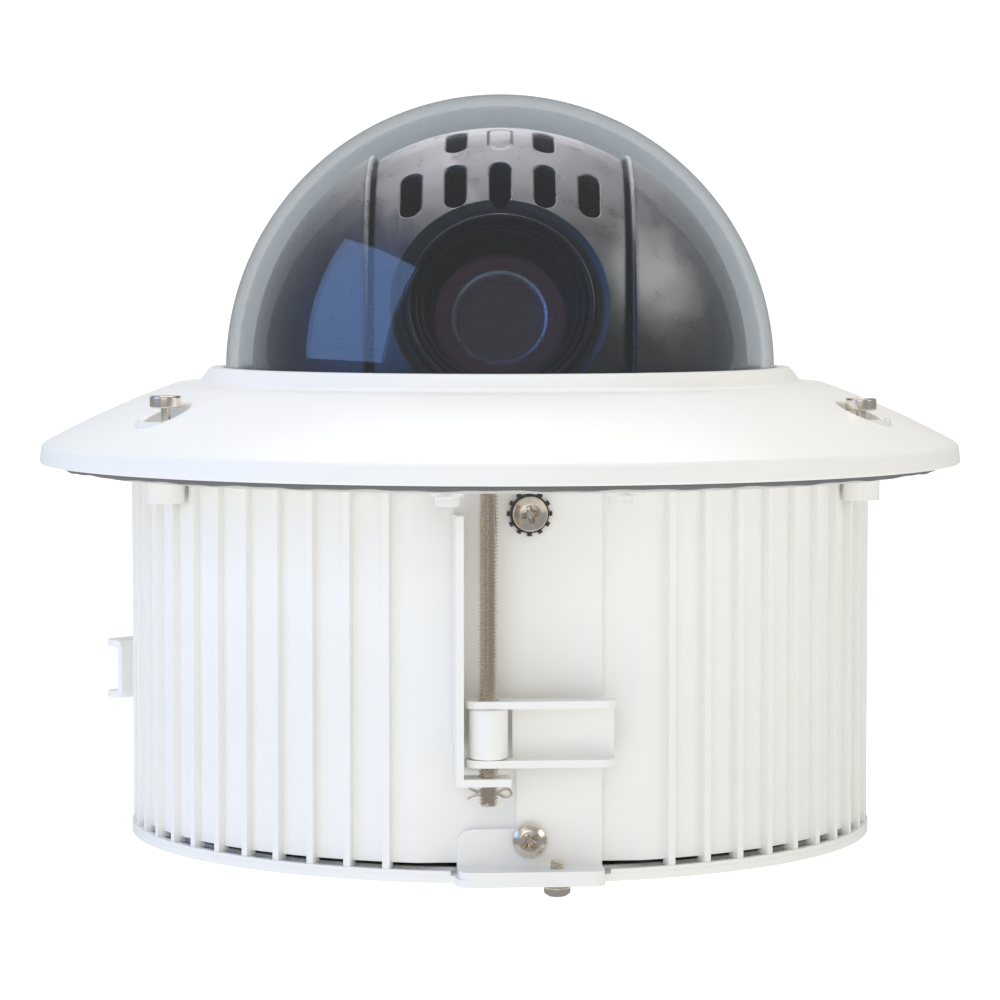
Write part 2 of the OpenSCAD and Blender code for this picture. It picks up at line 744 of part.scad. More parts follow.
module tilt_cover() {
    wall = 2;
    color("dimgray") at_lens() difference() {
        union() {
            half_drum(tilt_cover_r, tilt_half);
            for (side = [-1, 1]) rotate([0, 90 * side, 0])
                translate([0, 0, tilt_half - wall + 0.3]) cylinder(r = 10, h = wall);
        }
        half_drum(tilt_cover_r - wall, tilt_half - wall);
        cylinder(r = bezel_r + 0.1, h = 60);
        rotate_extrude() polygon([
            [bezel_r - 1, 47.6],
            [bezel_r + 1.1, 47.6],
            [bezel_r + 2.4, 48.4],
            [bezel_r + 3.4, 54],
            [bezel_r - 1, 54]
        ]);
        along_x(-40) cylinder(r = 3.98, h = 80);
        for (x = [-2 : 2]) vent(x * vent_pitch, 31);
        for (x = [-1 : 1]) vent(x * vent_pitch, 52);
    }
}

module camera_body() {
    wall = 2;
    color("gray") at_lens() difference() {
        translate([-22, -22, -36]) cube([44, 46, 66]);
        translate([-22 + wall, -22 + wall, -36 + wall]) cube([44 - 2 * wall, 46 - 2 * wall, 66 - 2 * wall]);
        cylinder(r = barrel_r + 0.1, h = 60);
    }
}

module sensor_board() {
    color("seagreen") at_lens() {
        translate([-17, -17, -32]) cube([34, 34, 1.6]);
        translate([-4, -4, -30.4 - eps]) cube([8, 8, 1.2]);
    }
}

module lens_barrel() {
    color("dimgray") at_lens() difference() {
        translate([0, 0, -24]) cylinder(r = barrel_r, h = 24 + bezel_z - 1.4);
        translate([0, 0, -25]) cylinder(r = bore_r, h = 25 + baffle_z - 2);
        translate([0, 0, baffle_z - 3]) cylinder(r = baffle_r, h = 10);
        translate([0, 0, baffle_z]) cylinder(r = cell_r, h = 20);
    }
}

module lens_bezel() {
    color("dimgray") at_lens() rotate_extrude() polygon([
        [barrel_r + 0.1, 42], [bezel_r, 42], [bezel_r, bezel_z], [barrel_r + 0.4, bezel_z],
        [barrel_r + 0.1, bezel_z - 0.8]
    ]);
}

module front_glass() {
    color("steelblue", 0.5) at_lens() intersection() {
        translate([0, 0, 40]) cylinder(r = cell_r - 0.1, h = 8);
        translate([0, 0, 45.6 - 42]) sphere(r = 42);
    }
}

module zoom_group() {
    color("darkslategray") at_lens() {
        tube(12, 10, 8, 16);
        translate([0, 0, 9]) cylinder(r = 10 + eps, h = 5);
    }
}

module focus_group() {
    color("darkslategray") at_lens() {
        tube(12, 8, -16, -9);
        translate([0, 0, -15]) cylinder(r = 8 + eps, h = 4);
    }
}

module ir_filter() { color("mediumvioletred") at_lens() translate([-7, -8, -27.5]) cube([14, 16, 1.2]); }

// ---- One line for each node ----

housing_shell();
base_plate();
base_screws();
base_washers();
cable_grommet();
clamp_bracket(0);  // clamp_bracket_1
clamp_bracket(1);  // clamp_bracket_2
clamp_bracket(2);  // clamp_bracket_3
bracket_screws();
lock_washers();
chassis_plate();
chassis_posts();
main_board();
terminal_blocks();
pan_bearing_outer();
slip_ring_stator();
pan_motor();
pan_pinion();
clamp_rod(0);  // clamp_rod_1
clamp_rod(1);  // clamp_rod_2
clamp_rod(2);  // clamp_rod_3
cotter_pin(0);  // cotter_pin_1
cotter_pin(1);  // cotter_pin_2
cotter_pin(2);  // cotter_pin_3
clamp_nut(0);  // clamp_nut_1
clamp_nut(1);  // clamp_nut_2
clamp_nut(2);  // clamp_nut_3
clamp_arm(0);  // clamp_arm_1
clamp_arm(1);  // clamp_arm_2
clamp_arm(2);  // clamp_arm_3
trim_ring();
ceiling_gasket();
dome_bubble();
dome_seal();
dome_retainer();
retainer_screws();
trim_screw(0);  // trim_screw_1
trim_screw(1);  // trim_screw_2
trim_screw(2);  // trim_screw_3
turntable();
pan_gear();
pan_bearing_inner();
slip_ring_rotor();
yoke(-1);  // yoke_left
yoke(1);  // yoke_right
tilt_bushes();
pan_cover();
tilt_motor();
tilt_pinion();
tilt_shafts();
tilt_gear();
tilt_cover();
camera_body();
sensor_board();
lens_barrel();
lens_bezel();
front_glass();
zoom_group();
focus_group();
ir_filter();
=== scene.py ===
# %% [markdown]
# # A recessed ceiling dome camera, standing dome up
#
# The object is a pan, tilt and zoom camera for a ceiling hole. A white housing carries a
# trim ring with a smoked dome, and three screw clamps on its sides grip the ceiling board.
# The frame below is the working CAD model. Every piece made here sits where the frame says,
# and rides on one of its bodies, so that it moves as the real piece does.

# %% Load the frame
import json
import math

import bmesh
import bpy
from mathutils import Matrix, Vector

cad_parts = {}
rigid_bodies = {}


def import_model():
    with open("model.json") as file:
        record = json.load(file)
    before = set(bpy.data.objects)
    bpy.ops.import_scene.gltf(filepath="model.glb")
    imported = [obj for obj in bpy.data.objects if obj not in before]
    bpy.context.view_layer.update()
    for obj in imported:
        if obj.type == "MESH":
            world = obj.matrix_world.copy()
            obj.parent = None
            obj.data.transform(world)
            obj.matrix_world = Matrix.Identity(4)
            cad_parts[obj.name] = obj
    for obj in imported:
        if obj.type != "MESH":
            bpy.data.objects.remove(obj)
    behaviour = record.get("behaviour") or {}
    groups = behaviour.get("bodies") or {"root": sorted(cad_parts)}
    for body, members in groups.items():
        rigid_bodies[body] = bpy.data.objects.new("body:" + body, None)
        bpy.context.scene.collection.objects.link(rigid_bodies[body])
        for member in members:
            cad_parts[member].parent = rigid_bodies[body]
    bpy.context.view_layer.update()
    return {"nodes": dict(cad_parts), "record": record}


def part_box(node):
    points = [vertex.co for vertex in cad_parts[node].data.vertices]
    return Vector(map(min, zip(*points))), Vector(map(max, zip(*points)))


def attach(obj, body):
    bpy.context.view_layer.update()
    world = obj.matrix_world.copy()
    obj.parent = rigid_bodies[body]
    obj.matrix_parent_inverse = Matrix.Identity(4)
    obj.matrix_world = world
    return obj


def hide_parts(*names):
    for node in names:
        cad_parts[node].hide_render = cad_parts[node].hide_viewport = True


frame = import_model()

# %% [markdown]
# ## Units and places
#
# Drawings of such a camera are in millimetres, and Blender works in metres. So every size
# here is written in millimetres and one factor turns it to metres. The frame gives the
# outer sizes: a box for each CAD node, measured at rest.

# %% Millimetres, and sizes read from the frame
MM = 0.001


def node_mm(node):
    """Lowest and highest corner of a CAD node, in millimetres."""
    low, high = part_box(node)
    return low / MM, high / MM


ring_low, ring_high = node_mm("trim_ring")
dome_high = node_mm("dome_bubble")[1]
ring_r = ring_high.x
ring_z = ring_low.z
collar_z = ring_high.z
dome_z = 102.6
dome_r = dome_high.z - dome_z
dome_wall = 2.5
lens_tilt = 17.5
first_clamp = -85.5
clamp_step = 120
trim_screw_r = 83.5
retainer_screw_r = 69.2
print(f"ring {ring_r:.1f}, dome radius {dome_r:.1f}, collar top {collar_z:.1f}")

# %% Placing a piece at a clamp, at a trim screw, or in front of the lens


def at_clamp(k):
    """Frame of clamp k: +X outward, +Y to the right as seen from outside."""
    return Matrix.Rotation(math.radians(first_clamp + clamp_step * k), 4, "Z")


def at_trim_screw(k):
    """Frame of captive trim screw k, half way between two clamps."""
    turn = Matrix.Rotation(math.radians(first_clamp + clamp_step * k + 60), 4, "Z")
    return turn @ Matrix.Translation((trim_screw_r * MM, 0, 0))


def moved(x=0, y=0, z=0):
    """Translation given in millimetres."""
    return Matrix.Translation(Vector((x, y, z)) * MM)


at_lens = moved(z=dome_z) @ Matrix.Rotation(math.radians(90 - lens_tilt), 4, "X")
on_x = Matrix.Rotation(math.radians(90), 4, "Y")
upright = Matrix.Rotation(math.radians(90), 4, "X")
half_turn = Matrix.Rotation(math.pi, 4, "X")

# %% [markdown]
# ## Making meshes
#
# Most pieces of a camera are turned, moulded or folded from sheet. A turned or moulded
# round piece is its half outline, swept round an axis. Real edges are never knife sharp,
# so a helper rounds the corners of an outline before it is swept, and the light then
# catches each edge as a thin bright line.

# %% Outlines: arcs, rounded corners


def arc(x, y, radius, start, stop, steps=8):
    """Points of an arc, its angles in degrees."""
    angles = [math.radians(start + (stop - start) * k / steps) for k in range(steps + 1)]
    return [(x + radius * math.cos(a), y + radius * math.sin(a)) for a in angles]


def rounded(points, radius, steps=4):
    """A closed outline with each corner sharper than 12 degrees turned into an arc."""
    result = []
    count = len(points)
    for k, corner in enumerate(points):
        here = Vector(corner[:2])
        size = corner[2] if len(corner) > 2 else radius
        before = Vector(points[k - 1][:2]) - here
        after = Vector(points[(k + 1) % count][:2]) - here
        turn = math.pi - before.angle(after)
        if turn < math.radians(12) or size <= 0:
            result.append(tuple(here))
            continue
        reach = min(size * math.tan(turn / 2), before.length * 0.49, after.length * 0.49)
        start = here + before.normalized() * reach
        stop = here + after.normalized() * reach
        for s in range(steps + 1):
            t = s / steps
            blend = start * (1 - t) ** 2 + here * 2 * t * (1 - t) + stop * t**2
            result.append(tuple(blend))
    return result


# %% Turning, extruding and lofting


def new_piece(name, vertices, faces):
    """A mesh object from points in millimetres."""
    mesh = bpy.data.meshes.new(name)
    mesh.from_pydata([Vector(v) * MM for v in vertices], [], faces)
    shape = bmesh.new()
    shape.from_mesh(mesh)
    bmesh.ops.remove_doubles(shape, verts=shape.verts, dist=1e-7)
    bmesh.ops.dissolve_degenerate(shape, edges=shape.edges, dist=1e-7)
    bmesh.ops.recalc_face_normals(shape, faces=shape.faces)
    shape.to_mesh(mesh)
    shape.free()
    piece = bpy.data.objects.new(name, mesh)
    bpy.context.scene.collection.objects.link(piece)
    return piece


def lathe(name, outline, segments=160, sweep=360.0, start=0.0):
    """Sweeps a closed outline of (radius, height) round Z."""
    count = len(outline)
    closed = sweep >= 360
    rings = segments if closed else segments + 1
    vertices = []
    for s in range(rings):
        a = math.radians(start + sweep * s / segments)
        vertices += [(r * math.cos(a), r * math.sin(a), z) for r, z in outline]
    faces = []
    for s in range(segments):
        here, there = s * count, ((s + 1) % rings) * count
        for k in range(count):
            n = (k + 1) % count
            faces.append((here + k, here + n, there + n, there + k))
    if not closed:
        faces.append(tuple(range(count)))
        faces.append(tuple(segments * count + k for k in range(count)))
    return new_piece(name, vertices, faces)


def loft(name, rings):
    """Joins rings of points one after the other, and closes both ends."""
    count = len(rings[0])
    vertices = [point for ring in rings for point in ring]
    faces = []
    for s in range(len(rings) - 1):
        for k in range(count):
            n = (k + 1) % count
            faces.append((s * count + k, s * count + n, (s + 1) * count + n, (s + 1) * count + k))
    faces.append(tuple(range(count)))
    faces.append(tuple((len(rings) - 1) * count + k for k in range(count)))
    return new_piece(name, vertices, faces)


def prism(name, outline, z0, z1):
    """An outline in XY pulled straight up."""
    return loft(name, [[(x, y, z) for x, y in outline] for z in (z0, z1)])


def sweep_along(name, path, radius, sides=12, closed=False):
    """A round bar along a path of points in millimetres."""
    points = [Vector(p) for p in path]
    count = len(points)
    rings = []
    side = None
    for k, here in enumerate(points):
        ahead = points[(k + 1) % count] if closed or k < count - 1 else here
        behind = points[k - 1] if closed or k > 0 else here
        along = (ahead - behind).normalized()
        if side is None:
            side = along.orthogonal()
        side = (side - along * side.dot(along)).normalized()
        other = along.cross(side)
        turns = [2 * math.pi * s / sides for s in range(sides)]
        rings.append([here + (side * math.cos(a) + other * math.sin(a)) * radius for a in turns])
    if not closed:
        return loft(name, rings)
    first, last = rings[0], rings[-1]
    shift = min(range(sides), key=lambda s: (last[s] - first[0]).length)
    vertices = [p for ring in rings for p in ring]
    faces = []
    for s in range(count):
        wrap = s == count - 1
        for k in range(sides):
            n = (k + 1) % sides
            a, b = s * sides + k, s * sides + n
            c, d = (s + 1) * sides + n, (s + 1) * sides + k
            if wrap:
                c, d = (n - shift) % sides, (k - shift) % sides
            faces.append((a, b, c, d))
    return new_piece(name, vertices, faces)


# %% Cutting, joining and finishing a mesh


def settle(piece):
    """Makes a piece's modifiers and its placing part of its mesh."""
    bpy.context.view_layer.update()
    graph = bpy.context.evaluated_depsgraph_get()
    mesh = bpy.data.meshes.new_from_object(piece.evaluated_get(graph))
    mesh.transform(piece.matrix_world)
    piece.modifiers.clear()
    piece.data = mesh
    piece.matrix_world = Matrix.Identity(4)
    return piece


def put(piece, place):
    """Moves a piece's mesh, so that its object stays at the origin."""
    piece.data.transform(place)
    if place.determinant() < 0:
        piece.data.flip_normals()
    return piece


def combined(piece, others, operation):
    """Unites a piece with others, or cuts them from it, and removes them."""
    for other in others:
        step = piece.modifiers.new("step", "BOOLEAN")
        step.operation = operation
        step.solver = "EXACT"
        step.object = other
    settle(piece)
    for other in others:
        bpy.data.objects.remove(other)
    return piece


def joined(name, pieces):
    """Several separate meshes as one piece."""
    shape = bmesh.new()
    for piece in pieces:
        shape.from_mesh(piece.data)
    mesh = bpy.data.meshes.new(name)
    shape.to_mesh(mesh)
    shape.free()
    result = bpy.data.objects.new(name, mesh)
    bpy.context.scene.collection.objects.link(result)
    for piece in pieces:
        bpy.data.objects.remove(piece)
    return result


def smooth(piece, angle=32):
    """Shades a piece smoothly, except where two faces meet at more than the angle."""
    piece.data.shade_smooth()
    piece.data.set_sharp_from_angle(angle=math.radians(angle))
    return piece


def tidy_mesh(piece, merge=0.002):
    """Joins points that lie together and flat faces that share a plane."""
    if "custom_normal" in piece.data.attributes:
        piece.data.attributes.remove(piece.data.attributes["custom_normal"])
    shape = bmesh.new()
    shape.from_mesh(piece.data)
    bmesh.ops.remove_doubles(shape, verts=shape.verts, dist=merge * MM)
    flat = math.radians(0.4)
    bmesh.ops.dissolve_limit(shape, angle_limit=flat, verts=shape.verts, edges=shape.edges)
    shape.to_mesh(piece.data)
    shape.free()
    return piece


def in_sectors(piece, count=12):
    """Cuts wide flat faces by planes through Z, so that none reaches round the opening."""
    shape = bmesh.new()
    shape.from_mesh(piece.data)
    for k in range(count):
        a = math.pi * (k + 0.37) / count
        every = shape.verts[:] + shape.edges[:] + shape.faces[:]
        side = (math.cos(a), math.sin(a), 0)
        bmesh.ops.bisect_plane(shape, geom=every, plane_co=(0, 0, 0), plane_no=side)
    shape.to_mesh(piece.data)
    shape.free()
    return piece


def bevelled(piece, width, segments=3, angle=32):
    """Rounds every edge sharper than the angle, as paint, moulding or tumbling does."""
    smooth(piece, 40)
    step = piece.modifiers.new("edges", "BEVEL")
    step.width = width * MM
    step.segments = segments
    step.limit_method = "ANGLE"
    step.angle_limit = math.radians(angle)
    step.miter_outer = "MITER_ARC"
    weigh = piece.modifiers.new("normals", "WEIGHTED_NORMAL")
    weigh.keep_sharp = True
    return settle(piece)


def copied(name, source):
    """A new piece with a copy of another object's mesh."""
    piece = bpy.data.objects.new(name, source.data.copy())
    bpy.context.scene.collection.objects.link(piece)
    return piece


def copy_of(node, name=None):
    """A new piece with the mesh of a CAD node."""
    piece = copied(name or node + "_finished", frame["nodes"][node])
    piece.data.materials.clear()
    return tidy_mesh(piece)


body_of_node = {n: b for b, ns in frame["record"]["behaviour"]["bodies"].items() for n in ns}
slot_of_node = {row["node"]: row["material_slot"] for row in frame["record"]["subparts"]}


def dress(piece, material, body, slot, *nodes):
    """Gives a piece its finish, the body it rides on and the nodes it stands for; the slot
    argument is not used.
    """
    piece.data.materials.clear()
    piece.data.materials.append(material)
    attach(piece, body)
    if nodes:
        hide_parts(*nodes)
    return piece


def from_cad(node, material, width, segments=2, name=None):
    """A CAD node's own mesh with its edges rounded, as a piece that stands for that node."""
    piece = bevelled(copy_of(node, name), width, segments)
    return dress(piece, material, body_of_node[node], slot_of_node[node], node)


# %% [markdown]
# ## Materials
#
# Each finish starts from how the real surface was made. Colours are sRGB hex values, as a
# paint card gives them, and one function turns them to the linear values that light needs.
# The scale of each pattern is worked out from a real size in millimetres.

# %% Helpers for materials


def hex_linear(code):
    """An sRGB hex colour as linear red, green, blue and alpha."""
    parts = [int(code[k : k + 2], 16) / 255 for k in (1, 3, 5)]
    linear = [c / 12.92 if c <= 0.04045 else ((c + 0.055) / 1.055) ** 2.4 for c in parts]
    return (*linear, 1.0)


def per_mm(size):
    """Texture scale whose pattern repeats about every size millimetres."""
    return 1 / (size * MM)


def add(tree, kind, settings=None, inputs=None):
    """Adds a node with its settings; each input is a value or the socket that feeds it."""
    node = tree.nodes.new(kind)
    for name, value in (settings or {}).items():
        setattr(node, name, value)
    for name, value in (inputs or {}).items():
        if isinstance(value, bpy.types.NodeSocket):
            tree.links.new(value, node.inputs[name])
        else:
            node.inputs[name].default_value = value
    return node


def start_material(name, values):
    """A material, its node tree, its Principled shader and the place on the piece."""
    material = bpy.data.materials.new(name)
    material.use_nodes = True
    tree = material.node_tree
    shader = tree.nodes["Principled BSDF"]
    for socket, value in values.items():
        shader.inputs[socket].default_value = value
    place = add(tree, "ShaderNodeTexCoord").outputs["Object"]
    return material, tree, shader, place


def two_tone(tree, shader, factor, first, second):
    """Lets the base colour drift between two close hex colours."""
    mix = add(tree, "ShaderNodeMix", {"data_type": "RGBA"}, {0: factor})
    mix.inputs[6].default_value = hex_linear(first)
    mix.inputs[7].default_value = hex_linear(second)
    tree.links.new(mix.outputs[2], shader.inputs["Base Color"])


def spread(tree, factor, low, high):
    """Maps a pattern's middle range to values between low and high."""
    limits = {"From Min": 0.3, "From Max": 0.7, "To Min": low, "To Max": high}
    return add(tree, "ShaderNodeMapRange", None, {"Value": factor, **limits}).outputs["Result"]


def raise_grain(tree, shader, height, depth, strength=1.0):
    """Turns a pattern into relief of a depth in millimetres."""
    inputs = {"Height": height, "Distance": depth * MM, "Strength": strength}
    bump = add(tree, "ShaderNodeBump", None, inputs)
    tree.links.new(bump.outputs["Normal"], shader.inputs["Normal"])


def noise(tree, place, size, detail=2.0, roughness=0.5):
    """A cloud pattern with lumps of a size in millimetres."""
    inputs = {"Vector": place, "Scale": per_mm(size), "Detail": detail, "Roughness": roughness}
    return add(tree, "ShaderNodeTexNoise", None, inputs).outputs["Fac"]


# %% [markdown]
# The housing, brackets and trim ring are white polyester powder coat on aluminium and steel.
# The powder melts into a thick skin that hides the metal and leaves orange peel: shallow
# lumps about a millimetre across. Polyester has an IOR near 1.5 and a satin sheen.

# %% Powder coat


def powder_coat(name, peel, depth, gloss):
    """White polyester powder coat with orange peel of a size and depth in millimetres."""
    material, tree, shader, place = start_material(name, {"IOR": 1.5, "Roughness": gloss})
    two_tone(tree, shader, noise(tree, place, 45, 3), "#f6f5f1", "#eeede8")
    lumps = noise(tree, place, peel, 3, 0.55)
    tree.links.new(spread(tree, lumps, gloss - 0.04, gloss + 0.06), shader.inputs["Roughness"])
    raise_grain(tree, shader, lumps, depth)
    return material


cast_paint = powder_coat("powder_coat_on_castings", 0.9, 0.035, 0.42)
sheet_paint = powder_coat("powder_coat_on_sheet_steel", 1.4, 0.02, 0.36)
ring_paint = powder_coat("powder_coat_on_trim_ring", 1.6, 0.012, 0.34)
print("painted finishes:", cast_paint.name, sheet_paint.name, ring_paint.name)

# %% [markdown]
# Screws and clamp rods are steel with bright nickel plate, which is warm beside chrome.
# Tumbling in the plating barrel leaves tiny scuffs, so the gloss is uneven. The inner plates
# are zinc-coated sheet, whose crystals show as faint spangles a few millimetres wide.

# %% Metals


def metal(name, light, dark, roughness, grain, depth, spangle=False):
    """A metal with uneven gloss; grain and depth are in millimetres."""
    material, tree, shader, place = start_material(name, {"Metallic": 1.0})
    if spangle:
        inputs = {"Vector": place, "Scale": per_mm(grain)}
        cells = add(tree, "ShaderNodeTexVoronoi", None, inputs).outputs["Color"]
        pattern = add(tree, "ShaderNodeSeparateColor", None, {"Color": cells}).outputs[0]
    else:
        pattern = noise(tree, place, grain, 4, 0.6)
    two_tone(tree, shader, pattern, light, dark)
    gloss = spread(tree, pattern, roughness * 0.75, roughness * 1.35)
    tree.links.new(gloss, shader.inputs["Roughness"])
    raise_grain(tree, shader, noise(tree, place, grain * 0.4, 3), depth)
    return material


nickel = metal("bright_nickel_plate", "#f0e8dc", "#dcd2c4", 0.22, 0.8, 0.004)
dark_zinc = metal("dull_zinc_plate", "#6d6c6a", "#4c4b4a", 0.42, 0.5, 0.01)
zinc_sheet = metal("zinc_coated_sheet", "#c9ccd0", "#a9adb2", 0.34, 3.5, 0.004, True)
brass = metal("turned_brass", "#d9b268", "#bf9347", 0.26, 0.7, 0.006)
anodised = metal("black_anodised_aluminium", "#3b3c3f", "#2a2b2d", 0.36, 0.35, 0.003)
print("metals:", nickel.name, dark_zinc.name, zinc_sheet.name, brass.name, anodised.name)

# %% [markdown]
# The covers under the dome are black ABS from a polished mould, glossy enough to mirror the
# room softly. The turntable is the same plastic from a spark-eroded mould, which leaves a
# fine matt grain. Gears are natural acetal, and the seals are EPDM rubber.

# %% Plastics and rubber


def plastic(name, light, dark, roughness, grain, depth, ior=1.53, **values):
    """A moulded plastic; grain and depth of its mould's texture are in millimetres."""
    material, tree, shader, place = start_material(name, {"IOR": ior, **values})
    two_tone(tree, shader, noise(tree, place, 30, 3), light, dark)
    lumps = noise(tree, place, grain, 3, 0.6)
    gloss = spread(tree, lumps, roughness * 0.85, roughness * 1.15)
    tree.links.new(gloss, shader.inputs["Roughness"])
    raise_grain(tree, shader, lumps, depth)
    return material


cover_abs = plastic("black_abs_polished", "#121214", "#0e0e10", 0.3, 5.0, 0.012, 1.75)
matt_abs = plastic("black_abs_eroded", "#1a1a1c", "#131315", 0.62, 0.35, 0.02)
acetal = plastic("natural_acetal", "#e9e4d4", "#dfd9c6", 0.4, 1.2, 0.008, 1.48)
rubber = plastic("epdm_rubber", "#1d1d1f", "#151516", 0.78, 0.5, 0.02, 1.52)
foam = plastic("closed_cell_foam", "#77787a", "#6b6c6e", 0.85, 0.6, 0.03)
green_nylon = plastic("green_polyamide", "#2f8a4b", "#277a40", 0.45, 0.6, 0.01)
solder_mask = plastic("solder_mask_on_fibreglass", "#14583a", "#0f4a30", 0.3, 0.8, 0.006, 1.55)
print("plastics:", cover_abs.name, matt_abs.name, acetal.name, rubber.name)

# %% [markdown]
# The dome is smoked polycarbonate, IOR 1.585, drape-formed over a polished former. It is
# clear but passes about half of the light. Lens elements are glass with a thin coating
# whose interference gives the magenta and blue glints. Light that comes straight from a
# lamp would be lost in a ray tracer at such a wall, so a lamp's ray meets a tinted open
# shader in its place.

# %% Clear materials


def clear(name, tint, ior, lamp_tint, film=0.0, roughness=0.0):
    """A clear solid. film is the coating's thickness in nanometres."""
    values = {"Transmission Weight": 1.0, "IOR": ior, "Thin Film Thickness": film}
    material, tree, shader, place = start_material(name, values)
    two_tone(tree, shader, noise(tree, place, 60, 2), tint[0], tint[1])
    haze = spread(tree, noise(tree, place, 25, 4), roughness, roughness + 0.012)
    tree.links.new(haze, shader.inputs["Roughness"])
    shader.inputs["Thin Film IOR"].default_value = 1.9
    open_shader = add(tree, "ShaderNodeBsdfTransparent", None, {"Color": hex_linear(lamp_tint)})
    lamp_ray = add(tree, "ShaderNodeLightPath").outputs["Is Shadow Ray"]
    mix = add(tree, "ShaderNodeMixShader", None, {0: lamp_ray})
    tree.links.new(shader.outputs[0], mix.inputs[1])
    tree.links.new(open_shader.outputs[0], mix.inputs[2])
    tree.links.new(mix.outputs[0], tree.nodes["Material Output"].inputs["Surface"])
    return material


smoked = clear("smoked_polycarbonate", ("#bcc2c6", "#b8bec2"), 1.585, "#dde0e2")
coated = clear("coated_optical_glass", ("#f4f6fa", "#eef1f6"), 1.6, "#f0f0f0", 420)
inner_glass = clear("coated_inner_glass", ("#e8eef6", "#e2e9f2"), 1.7, "#e8e8e8", 330)
infrared = clear("infrared_cut_glass", ("#e9c6da", "#dfb8d0"), 1.52, "#e8c8d8", 520)
print("clear:", smoked.name, coated.name, inner_glass.name, infrared.name)

# %% [markdown]
# ## Camera
#
# The view is that of a product shot: a long lens almost level with the trim ring, looking
# a few degrees down at the clamp that faces it.

# %% Camera
eye_z = 124.6
eye_y = -807
look_down = 3.59

camera = bpy.data.objects.new("camera", bpy.data.cameras.new("camera"))
camera.data.lens = 132.95
camera.data.sensor_width = 36
camera.location = Vector((0, eye_y, eye_z)) * MM
camera.rotation_euler = (math.radians(90 - look_down), 0, 0)
bpy.context.scene.collection.objects.link(camera)
bpy.context.scene.camera = camera
print("camera", [round(c, 3) for c in camera.location])

# %% [markdown]
# ## Screws with real threads
#
# A thread is one groove that winds round the bar. If each row of points follows the helix,
# the radius depends only on the row, so crest and root stay crisp with few points. Rows
# past either end are squeezed to the end plane and merge there into a clean circle.

# %% Thread, cross recess and screw heads


def thread(name, radius, pitch, z0, z1, columns=28, rows=6):
    """An ISO thread between two heights, with a chamfer at its lower end."""
    depth = pitch * 0.58
    low_end = radius - depth * 1.25
    ramp = [0.0, 0.0, 0.45, 1.0, 1.0, 0.5]
    turns = math.ceil((z1 - z0) / pitch) + 2
    vertices, faces = [], []
    for k in range(turns * rows + 1):
        for j in range(columns):
            z = z0 - pitch + k * pitch / rows + pitch * j / columns
            r = min(radius - depth * ramp[k % rows], low_end + max(0.0, z - z0) * 1.1)
            r = min(r, low_end) if z >= z1 else r
            a = 2 * math.pi * j / columns
            vertices.append((r * math.cos(a), r * math.sin(a), min(max(z, z0), z1)))
    last = turns * rows - rows
    for k in range(last):
        for j in range(columns):
            n = j + 1 if j < columns - 1 else 0
            up = k if j < columns - 1 else k + rows
            a, b = k * columns + j, up * columns + n
            faces.append((a, b, b + columns, a + columns))
    faces.append(tuple(range(columns)))
    faces.append(tuple(last * columns + j for j in range(columns)))
    return new_piece(name, vertices, faces)


def cross_cutter(name, reach, depth, width):
    """Phillips recess: four wings that narrow towards a blunt point."""
    rings = []
    levels = ((1.0, 1.0, 1.0), (0.0, 1.0, 1.0), (-0.62, 0.62, 0.82), (-1.0, 0.3, 0.7))
    for z, out, half in levels:
        long, w = reach * out, width * half / 2
        corner = min(w * 1.45, long)
        quarter = [(long, -w), (long, w), (corner, corner)]
        ring = []
        for q in range(4):
            a = math.radians(90 * q)
            cosine, sine = math.cos(a), math.sin(a)
            ring += [(x * cosine - y * sine, x * sine + y * cosine) for x, y in quarter]
        rings.append([(x, y, z * (depth if z < 0 else 1.5)) for x, y in ring])
    return loft(name, rings)


def pan_head(name, head_r, head_h, turn=25):
    """Pan head on z = 0: a rounded rim, a low crown and a cross recess."""
    outline = [(0, 0), (head_r, 0, 0.25), (head_r, head_h * 0.62, 0.7)]
    outline += [(head_r * 0.62, head_h * 0.93, 0.6), (0, head_h, 0)]
    head = lathe(name, [(max(r, 0.0), z) for r, z in rounded(outline, 0.3)], 64)
    cutter = cross_cutter("cut", head_r * 0.56, head_h * 0.62, head_r * 0.27)
    put(cutter, moved(z=head_h) @ Matrix.Rotation(math.radians(turn), 4, "Z"))
    return smooth(combined(head, [cutter], "DIFFERENCE"), 28)


def pan_screw(name, shank_r, pitch, shank_l, head_r, head_h, turn=25):
    """Pan head screw, its head standing on z = 0 and its thread going down."""
    head = pan_head(name + "_head", head_r, head_h, turn)
    shank = smooth(thread(name + "_thread", shank_r, pitch, -shank_l, 0.05), 50)
    return joined(name, [head, shank])


# %% [markdown]
# ## Trim ring
#
# The trim ring is a die casting: a sloping white crown that hides the edge of the ceiling
# hole, with a raised collar that holds the dome. It is a turned shape, so it starts on the
# lathe. Three pockets sink the captive screws. Their cutters widen by a quarter round just
# where they leave the crown, which leaves the soft rim that a casting has.

# %% Crown of the trim ring
crown_r = 200
crown_low = (98.9, 87.2)
low_slope, high_slope = 28.5, 19.6
pocket_floor = 91.9


def crown_z(rho):
    """Height of the crown at a distance from the axis."""
    sine = math.sin(math.radians(low_slope)) - (crown_low[0] - rho) / crown_r
    return crown_low[1] + crown_r * (math.cos(math.asin(sine)) - math.cos(math.radians(low_slope)))


def crown_points(drop, steps=14):
    """Crown from its lip up to the flat round the collar."""
    high = crown_low[0] - crown_r * (
        math.sin(math.radians(low_slope)) - math.sin(math.radians(high_slope))
    )
    rhos = [crown_low[0] + (high - crown_low[0]) * k / steps for k in range(steps + 1)]
    return [(rho, crown_z(rho) - drop) for rho in rhos]


